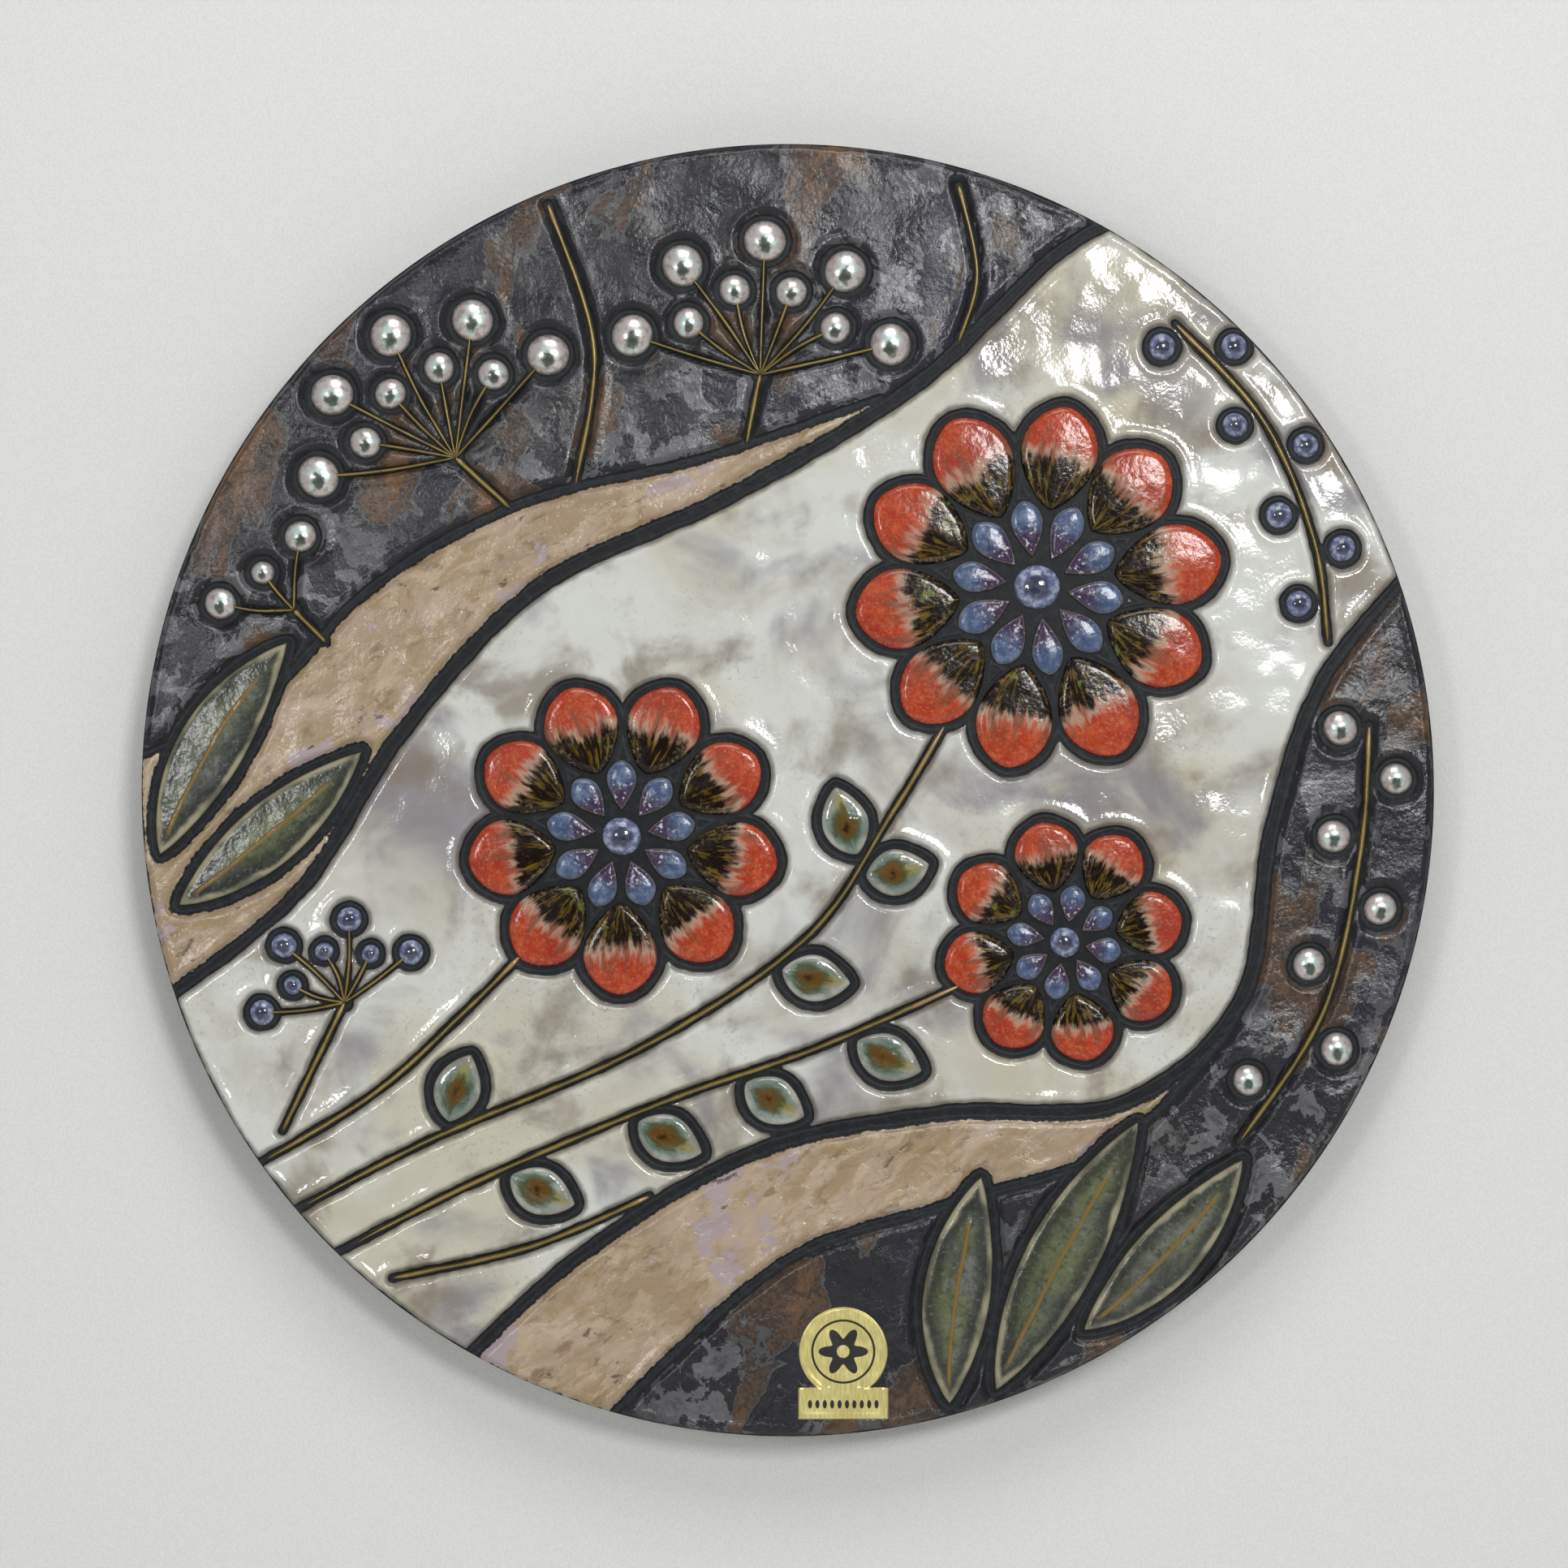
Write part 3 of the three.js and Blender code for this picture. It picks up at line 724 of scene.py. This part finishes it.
leafPlaces = [
    {"base": (35, -133), "aim": 90, "length": 50, "width": 15, "bend": -16},
    {"base": (45, -130), "aim": 65, "length": 66, "width": 16, "bend": -6},
    {"base": (64, -117), "aim": 38, "length": 51, "width": 14, "bend": 18},
    {"base": (-136, -14), "aim": 70, "length": 54, "width": 15, "bend": -22},
    {"base": (-132, -25), "aim": 36, "length": 52, "width": 14, "bend": 8},
]
outlineWidth = 2.2
handWobble = np.random.default_rng(7)       # small differences between like motifs, as a hand leaves them

coralForms, blueForms, leafletForms = [], [], []
beads = []                                   # x, y, radius, rise, whether it is a berry
wells = []                                   # x, y, radius of the round hollows
strokes = []                                 # path, groove width, ridge width


def uneven(share):
    return 1 + share * handWobble.uniform(-1, 1)


def addStem(path):
    strokes.append((path, stemShape["width"], stemShape["ridge"]))


def addBead(tip, radius, holder):
    wells.append((*tip, radius + headShape["wellMargin"]))
    rise = plate["groove"] + headShape["dome"] * radius
    beads.append((*tip, radius, rise, holder.get("berry", False)))


for place in flowers:
    radius, count = place["radius"], place["petals"]
    heart = radius * flowerShape["heart"]
    start = heart * flowerShape["start"]
    turnEach = 2 * math.pi / count
    width = turnEach * radius * flowerShape["fill"] - flowerShape["parting"]
    smallStart = heart * flowerShape["smallStart"]
    smallWidth = turnEach * heart * flowerShape["smallFill"] - flowerShape["smallParting"]
    centre = np.array([place["x"], place["y"]], float)
    wells.append((*centre, heart * flowerShape["well"] + flowerShape["wellMargin"]))
    for i in range(count):
        aim = place["turn"] + 360 * i / count + handWobble.uniform(-1, 1) * flowerShape["turned"]
        coralForms.append({
            **petalShape, "base": centre + polar(aim, start), "aim": aim,
            "length": (radius - start) * uneven(0.03), "width": width * uneven(0.03)})
        aim = place["turn"] + 360 * (i + 0.5) / count
        blueForms.append({
            **smallPetalShape, "base": centre + polar(aim, smallStart), "aim": aim,
            "length": (heart * flowerShape["smallEnd"] - smallStart) * uneven(0.04),
            "width": smallWidth * uneven(0.04)})
    beads.append((*centre, heart * flowerShape["eye"], plate["groove"] + flowerShape["eyeRise"], True))

for head in seedHeads:
    hub = np.array(head["hub"], float)
    addStem(np.linspace(head["root"], hub, 12))
    wells.append((*hub, headShape["hubRadius"]))
    for i in range(head["count"]):
        isLong = i % 2 == 0
        angle = head["aim"] + head["spread"] * (i / (head["count"] - 1) - 0.5)
        tip = hub + polar(angle, head["reach"] * (1 if isLong else headShape["shortSpoke"]))
        radius = head["bead"] * (1 if isLong else headShape["smallBead"])
        sway = polar(angle + 90, headShape["sway"] * handWobble.uniform(-1, 1))
        strokes.append((curveThrough([hub, (hub + tip) / 2 + sway, tip], 10), stemShape["spokeWidth"],
                        stemShape["spokeRidge"]))
        addBead(tip, radius, head)

for sprig in sprigs:
    addStem(curveThrough(sprig["points"]))
    for i, along in enumerate(np.linspace(sprig["from"], sprig["to"], sprig["count"])):
        forward = headingAt(sprig["points"], along)
        offset = sprig["bead"] + headShape["wellMargin"] + stemShape["toWell"] * stemShape["width"]
        side = np.array([-forward[1], forward[0]]) * (1 if i % 2 == 0 else -1)
        tip = splineAt(sprig["points"], along) + offset * side
        radius = sprig["bead"] * uneven(0.06)
        addBead(tip, radius, sprig)

for stem in stems:
    addStem(curveThrough(stem["points"]))
    for along, side in stem["leaflets"]:
        forward = headingAt(stem["points"], along)
        aim = math.degrees(math.atan2(forward[1], forward[0])) + side * leafletShape["lean"]
        leafletForms.append({**leafletShape, "aim": aim, "bend": side * leafletShape["bend"],
                             "base": splineAt(stem["points"], along) + polar(aim, outlineWidth),
                             "length": leafletShape["length"] * uneven(0.06)})

for points in grasses:
    addStem(curveThrough(points))
leafForms = [{**place, **leafShape} for place in leafPlaces]
print("design laid out:", len(coralForms), "petals,", len(beads), "beads,", len(strokes), "strokes")


# The ground: one sheet over the whole face, with every bare line sunk into it

ground = {
    "cells": 436,               # across the sheet
    "reach": 9.0,               # how far from a line its distance is kept
    "stretch": 8,               # steps of a path that are cut at a time
    "lip": 0.16, "lipAt": 1.35, "lipWidth": 0.8,    # the glaze stands up beside a line
    "ripple": [(19.0, 0.30, 20), (9.0, 0.22, 21), (4.0, 0.06, 22)],  # cell, height and seed of each noise
    "waver": [(6.0, 0.22, 31), (1.9, 0.12, 32)],    # the same for the line's two edges
}

# The square's points go to the disc by x = u * sqrt(1 - v^2 / 2) and y = v * sqrt(1 - u^2 / 2), so the
# square's edge becomes the rim.
side = np.linspace(-1, 1, ground["cells"] + 1)
u, v = (a.ravel() for a in np.meshgrid(side, side, indexing="ij"))
groundX = plate["radius"] * u * np.sqrt(1 - v * v / 2)
groundY = plate["radius"] * v * np.sqrt(1 - u * u / 2)
gap = np.full(len(u), ground["reach"])


def near(low, high):
    low, high = low - ground["reach"], high + ground["reach"]
    inside = (groundX > low[0]) & (groundX < high[0]) & (groundY > low[1]) & (groundY < high[1])
    return np.flatnonzero(inside)


def cutStroke(path, half):
    half = np.broadcast_to(half, len(path))
    for start in range(0, len(path) - 1, ground["stretch"]):
        part = path[start:start + ground["stretch"] + 1]
        k = near(part.min(0), part.max(0))
        away, along = distanceTo(groundX[k], groundY[k], part)
        gap[k] = np.minimum(gap[k], away - np.interp(along + start, np.arange(len(path)), half))


def cutOutline(outline, grow):
    k = near(outline.min(0), outline.max(0))
    away, _ = distanceTo(groundX[k], groundY[k], outline, closed=True)
    away[insideOf(groundX[k], groundY[k], outline)] *= -1
    gap[k] = np.minimum(gap[k], away - grow)


def cutWell(x, y, radius):
    centre = np.array([x, y])
    k = near(centre - radius, centre + radius)
    gap[k] = np.minimum(gap[k], np.hypot(groundX[k] - x, groundY[k] - y) - radius)


for divider in dividers.values():
    path = curveThrough(divider["points"])
    swell = 0.8 + 0.2 * np.sin(np.linspace(0, np.pi, len(path)))
    cutStroke(path, divider["width"] / 2 * swell)
for path, width, _ in strokes:
    cutStroke(path, width / 2)
for form in coralForms + leafletForms + leafForms:
    cutOutline(bladeOutline(form), outlineWidth)
for x, y, radius in wells:
    cutWell(x, y, radius)
gap = np.minimum(gap, plate["radius"] - plate["rimLine"] - np.hypot(groundX, groundY))
for cell, amount, seed in ground["waver"]:
    gap += amount * softNoise(groundX, groundY, cell, seed)


# Height of the ground: up from the groove's floor as the gap opens, a lip beside the line, and ripples
def groundHeight(x, y, opening):
    up = smoothStep(opening, -0.35, 0.75)
    lip = ground["lip"] * np.exp(-((opening - ground["lipAt"]) / ground["lipWidth"]) ** 2)
    ripple = sum(amount * softNoise(x, y, cell, seed) for cell, amount, seed in ground["ripple"])
    return plate["floor"] + up * (plate["groove"] + lip + ripple * smoothStep(opening, 0.3, 2.5))


height = groundHeight(groundX, groundY, gap)
rimward = smoothStep(plate["radius"] - np.hypot(groundX, groundY), 0, 0.5)
height = plate["floor"] + (height - plate["floor"]) * rimward
print("ground worked out:", len(height), "points")


def fieldOutline(line, start, end):
    return np.concatenate([curveThrough(line["points"]), polar(np.linspace(start, end, 80))])


# Between two lines that meet: back along the first from the place nearest to the second's end
def lensOutline(first, second, start, end):
    outer, inner = curveThrough(first["points"]), curveThrough(second["points"])
    meet = np.hypot(*(outer - inner[-1]).T).argmin()
    return np.concatenate([outer[meet::-1], polar(np.linspace(start, end, 20)), inner])


cells = gridCells(ground["cells"] + 1, ground["cells"] + 1)
middleX, middleY = groundX[cells].mean(1), groundY[cells].mean(1)
upper = insideOf(middleX, middleY, fieldOutline(dividers["ridge"], 59, 199))
lower = insideOf(middleX, middleY, fieldOutline(dividers["shore"], 20, -120))
upperTan = insideOf(middleX, middleY, lensOutline(dividers["ridge"], dividers["band"], 199, 178)) & upper
lowerTan = insideOf(middleX, middleY, lensOutline(dividers["shore"], dividers["bank"], 240, 253)) & lower
fields = {
    "white_ground": ~upper & ~lower,
    "pewter_ground_upper": upper & ~upperTan,
    "pewter_ground_lower": lower & ~lowerTan,
    "tan_ground": upperTan | lowerTan,
}
groundPoints = toFrame(groundX, groundY, height)
groundFinish = {"white_ground": makeWhiteGlaze(), "tan_ground": makeTanGlaze()}
groundFinish["pewter_ground_upper"] = groundFinish["pewter_ground_lower"] = makePewterGlaze()
groundPieces = []
for name, inField in fields.items():
    own = cells[inField]
    used, own = np.unique(own, return_inverse=True)
    own = own.reshape(-1, 4)
    groundPieces.append(makePiece(name, groundPoints[used], own, {"gap": gap[used]}, groundFinish[name],
                                  weld=False))


# Motifs: each a glazed pillow in its groove. Its height rises from the floor as a quarter round over the
# width of its edge, and a little more towards its middle.

def pillowGrid(form, rows, columns, edgeWidth, rise, seed):
    t = easedShares(rows)[:, None] * np.ones(columns)
    across = np.sin(np.linspace(-np.pi / 2, np.pi / 2, columns))[None, :] * np.ones((rows, 1))
    x, y = bladeAt(form, t, across)
    edge = edgeDistance(x, y, bladeOutline(form))
    roundEdge = np.sqrt(1 - (1 - (edge / edgeWidth).clip(0, 1)) ** 2)
    dome = 0.35 * (edge / max(edge.max(), 1e-6))
    ripple = 0.05 * softNoise(x, y, 3.5, 41) * (edge / edgeWidth).clip(0, 1)
    tall = plate["floor"] - 0.2 + (plate["groove"] + 0.2 + rise) * roundEdge + dome + ripple
    half = np.hypot(x - (x[:, :1] + x[:, -1:]) / 2, y - (y[:, :1] + y[:, -1:]) / 2) * np.sign(across)
    return toFrame(x, y, tall), {"along": t, "across": across, "edge": edge, "offset": half,
                                 "pick": np.full(x.shape, (seed * 0.618034) % 1)}


def makePillows(name, forms, rows, columns, edgeWidth, rise, finish):
    grids = [pillowGrid(form, rows, columns, edgeWidth, rise, i + 1) for i, form in enumerate(forms)]
    return makeSheets(name, grids, finish)


# name, forms, rows and columns of each grid, width of the edge, rise over the ground, finish
motifs = [
    makePillows("coral_petals", coralForms, 34, 22, 1.5, 0.1, makeCoralGlaze()),
    makePillows("blue_petals", blueForms, 20, 13, 1.0, 0.0, makeBlueGlaze()),
    makePillows("broad_leaves", leafForms, 70, 24, 1.4, 0.05, makeLeafGlaze()),
    makePillows("leaflets", leafletForms, 32, 18, 1.2, 0.1, makeLeafletGlaze()),
]


# A bead is a dome: at the share s of its radius its height is rise * sqrt(1 - s^2)
def beadGrid(x, y, radius, rise, seed):
    share = np.sin(np.linspace(np.pi / 2, 0, 11))[:, None]
    angle = np.linspace(0, 2 * np.pi, 33)[None, :]
    reach = radius * share * (1 + 0.025 * np.cos(2 * angle + seed))
    tall = plate["floor"] - 0.15 + (rise + 0.15) * np.sqrt((1 - share ** 2).clip(0)) * np.ones(angle.shape)
    values = {"down": 1 - share, "right": share * np.cos(angle), "up": share * np.sin(angle)}
    return toFrame(x + reach * np.cos(angle), y + reach * np.sin(angle), tall), values


# The rows of a bead run from its rim in to its top, so its faces look outwards
def makeBeads(name, berry, finish):
    chosen = [b[:4] for b in beads if bool(b[4]) == berry]
    grids = [beadGrid(*b, seed=i) for i, b in enumerate(chosen)]
    return makeSheets(name, grids, finish)


motifs.append(makeBeads("silver_beads", False, makeSilverLustre()))
motifs.append(makeBeads("berry_beads", True, makeBerryGlaze()))


# The olive-gold thread in the middle of each stroke: half an ellipse carried along the path, thin at its ends
def threadGrid(path, width, rows=56):
    share = np.linspace(0, 1, rows)
    line = np.stack([np.interp(share, np.linspace(0, 1, len(path)), path[:, k]) for k in (0, 1)], -1)
    forward = np.gradient(line, axis=0)
    forward /= np.linalg.norm(forward, axis=1, keepdims=True)
    thin = np.minimum(1, np.minimum(share, 1 - share) * 14) ** 0.5
    angle = np.linspace(np.pi, 0, 9)
    sideways = np.cos(angle)[None, :] * (width / 2 * thin)[:, None]
    x = line[:, :1] + forward[:, 1:] * sideways
    y = line[:, 1:] - forward[:, :1] * sideways
    tall = plate["floor"] - 0.1 + (plate["groove"] - 0.1) * np.sin(angle)[None, :] * thin[:, None]
    return toFrame(x, y, tall), {"along": share[:, None], "across": np.cos(angle)[None, :]}


def insideRim(path):
    return path[np.hypot(path[:, 0], path[:, 1]) < plate["radius"] - 1.5]


threads = [threadGrid(insideRim(path), width) for path, _, width in strokes]
motifs.append(makeSheets("gold_threads", threads, makeOliveGold()))


# The body: the rim, the underside, the foot ring and the recess in it, turned about the middle

body = {"corner": 0.7, "turns": 224, "ringStep": 1.1, "markHeight": 0.07, "marksEvery": 3.4}


# Each corner of the profile gives way to a parabola between points at the cut's distance on its two sides
def eased(profile, cut, steps=5):
    out = [profile[0]]
    for before, corner, after in zip(profile[:-2], profile[1:-1], profile[2:]):
        inward, onward = before - corner, after - corner
        a = corner + inward * min(0.45, cut / np.linalg.norm(inward))
        b = corner + onward * min(0.45, cut / np.linalg.norm(onward))
        t = np.linspace(0, 1, steps)[:, None]
        out.extend((1 - t) ** 2 * a + 2 * t * (1 - t) * corner + t ** 2 * b)
    out.append(profile[-1])
    return np.array(out)


def makeBody():
    r, foot, half = plate["radius"], plate["footRadius"], plate["footWidth"] / 2
    recess = plate["face"] - plate["bodyThickness"]
    back = plate["face"] - plate["rimThickness"]
    corners = np.array([
        (r - 0.5, plate["floor"] - 0.4), (r, plate["floor"] - 0.05), (r, back + 1.5), (r - 1.2, back),
        (r - 10, back - 2.2), (foot + half + 2, recess - 1.6), (foot + half, 0), (foot - half, 0),
        (foot - half - 1.4, recess), (0, recess)])
    profile = eased(corners, body["corner"])
    run = np.concatenate([[0], np.cumsum(np.hypot(*np.diff(profile, axis=0).T))])
    places = np.unique(np.concatenate([run, np.arange(0, run[-1], body["ringStep"])]))
    radius, tall = (np.interp(places, run, profile[:, k]) for k in (0, 1))
    flat = ((radius < foot - half - 4) | (radius > foot + half + 4)) & (radius < r - 8)
    tall = tall + flat * body["markHeight"] * np.sin(2 * np.pi * radius / body["marksEvery"])
    angle = np.linspace(0, 2 * np.pi, body["turns"] + 1)
    bareFoot = (tall < 1.2).astype(float)
    x = radius[:, None] * np.cos(angle)
    y = radius[:, None] * np.sin(angle)
    points = toFrame(x, y, tall[:, None] * np.ones(len(angle)))
    return makeSheets("plate_body", [(points[:, ::-1], {"band": bareFoot[:, None]})], makeBodyGlaze())


plateBody = makeBody()


# The foil label: one sheet, a disc over a bar, laid on the glaze

label = {"x": 12.0, "y": -121.5, "disc": 9.6, "barWidth": 19.5, "barHeight": 6.8, "overlap": 1.8,
         "lift": 0.14, "thickness": 0.00012}


def makeLabel():
    barTop = label["y"] - label["disc"] + label["overlap"]
    barBottom = barTop - label["barHeight"]
    waist = math.sqrt(label["disc"] ** 2 - (barTop - label["y"]) ** 2)
    turn = np.linspace(0, math.pi - math.asin(waist / label["disc"]), 40)
    discY = label["y"] + label["disc"] * np.cos(turn)
    discHalf = np.sqrt((label["disc"] ** 2 - (discY - label["y"]) ** 2).clip(0))
    barY = np.linspace(barTop - 0.04, barBottom, 16)
    rowY = np.concatenate([discY, barY])[::-1]
    half = np.concatenate([discHalf, np.full(len(barY), label["barWidth"] / 2)])[::-1]
    across = np.linspace(-1, 1, 41)
    x = (label["x"] + half[:, None] * across).T
    y = (rowY[:, None] * np.ones(len(across))).T
    outline = np.concatenate([np.stack([label["x"] + half, rowY], -1),
                              np.stack([label["x"] - half, rowY], -1)[::-1]])
    edge = edgeDistance(x, y, outline)
    nearest = np.full(x.size, ground["reach"])
    under = groundHeight(x.ravel(), y.ravel(), nearest).reshape(x.shape)
    emboss = 0.05 * (smoothStep(edge, 0.4, 0.6) - smoothStep(edge, 0.9, 1.1))
    points = toFrame(x, y, under + label["lift"] + emboss)
    values = {"labelX": x - label["x"], "labelY": y - label["y"]}
    piece = makeSheets("label_sheet", [(points, values)], makeGoldFoil())
    solid = piece.modifiers.new("thickness", "SOLIDIFY")
    solid.thickness, solid.offset = label["thickness"], -1
    return piece


labelSheet = makeLabel()
for piece in (*groundPieces, *motifs, plateBody):
    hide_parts("plate")
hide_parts("foil_label")


# Room, light and camera

room = {"wall": 1.6, "floorDrop": 0.42, "behind": 0.0006,
        "shade": srgb(212, 212, 209), "grain": srgb(204, 204, 201)}


def makeStageSheet(name, corners, finish):
    mesh = bpy.data.meshes.new(name)
    mesh.from_pydata([tuple(c) for c in corners], [], [(0, 1, 2, 3)])
    mesh.materials.append(finish)
    sheet = addObject(name, mesh)
    return sheet


def makePaper():
    # pale and finely grained. It is clear from behind and casts no shadow, so that the back of the plate is
    # seen and lit.
    f = Finish("pale_wall")
    colour = f.mix(f.step(f.noise(0.5, 2), 0.3, 0.7), room["shade"], room["grain"])
    solid = f.gloss(colour, 0.9, Normal=f.bump(f.noise(0.7, 2), 0.06, 0.6))
    behind = f.node("ShaderNodeNewGeometry", out="Backfacing")
    shadow = f.node("ShaderNodeLightPath", out="Is Shadow Ray")
    return f.done(f.blend(behind.math("MAXIMUM", shadow), solid, f.node("ShaderNodeBsdfTransparent")))


def makeDarkCloth():
    f = Finish("dark_cloth")
    return f.shine(srgb(40, 40, 44), 0.9)


paper = makePaper()
w, d, b = room["wall"], room["floorDrop"], room["behind"]
makeStageSheet("wall", [(-w, b, -d), (w, b, -d), (w, b, w), (-w, b, w)], paper)
makeStageSheet("floor", [(-w, -w, -d), (w, -w, -d), (w, b, -d), (-w, b, -d)], paper)

# The dark side of the room, facing the plate: glossy beads and glazes mirror it
darkCorners = [(-0.3, -1.6, -1.1), (0.3, -1.6, -1.1), (0.3, -1.6, -0.05), (-0.3, -1.6, -0.05)]
darkSide = makeStageSheet("dark_side", darkCorners, makeDarkCloth())
darkSide.visible_camera = False

lights = [
    {"name": "window", "at": (0.31, -1.30, 0.22), "size": 0.24, "watts": 6.5},
    {"name": "high", "at": (0.05, -0.75, 0.75), "size": 0.50, "watts": 4.7},
    {"name": "side", "at": (-0.46, -1.25, 0.02), "size": 0.16, "watts": 2.2},
    {"name": "behind_right", "at": (0.7, 1.3, 0.9), "size": 0.9, "watts": 16.0},
    {"name": "behind_left", "at": (-0.9, 1.1, -0.1), "size": 0.9, "watts": 9.0},
]
centre = np.array([0, -plate["face"] / 1000, -plate["footRadius"] / 1000])


def makeLight(place):
    lamp = bpy.data.lights.new(place["name"], "AREA")
    lamp.shape, lamp.size, lamp.energy = "SQUARE", place["size"], place["watts"]
    holder = addObject(place["name"], lamp)
    holder.location = place["at"]
    toward = Vector(tuple(centre - np.array(place["at"])))
    holder.rotation_euler = toward.to_track_quat("-Z", "Y").to_euler()


for place in lights:
    makeLight(place)

world = bpy.data.worlds.new("soft_room")
bpy.context.scene.world = world
world.use_nodes = True
backdrop = world.node_tree.nodes["Background"]
backdrop.inputs["Color"].default_value = srgb(226, 230, 234)
backdrop.inputs["Strength"].default_value = 0.43
bpy.context.scene.view_settings.view_transform = "Standard"

photo = {"pixels": 1932, "centreX": 970.7, "centreY": 973.6, "across": 1594.0}    # where the plate is in it
view = {"distance": 1.05, "sensor": 36.0}
millimetresEach = 2 * plate["radius"] / photo["across"]
frameWidth = millimetresEach * photo["pixels"] / 1000
camera = bpy.data.cameras.new("camera")
camera.sensor_width = view["sensor"]
camera.lens = view["sensor"] * view["distance"] / frameWidth
cameraHolder = addObject("camera", camera)
shiftX = (photo["pixels"] / 2 - photo["centreX"]) * millimetresEach / 1000
shiftZ = (photo["centreY"] - photo["pixels"] / 2) * millimetresEach / 1000
cameraHolder.location = (centre[0] + shiftX, centre[1] - view["distance"], centre[2] + shiftZ)
cameraHolder.rotation_euler = (math.pi / 2, 0, 0)
bpy.context.scene.camera = cameraHolder

print("scene ready")
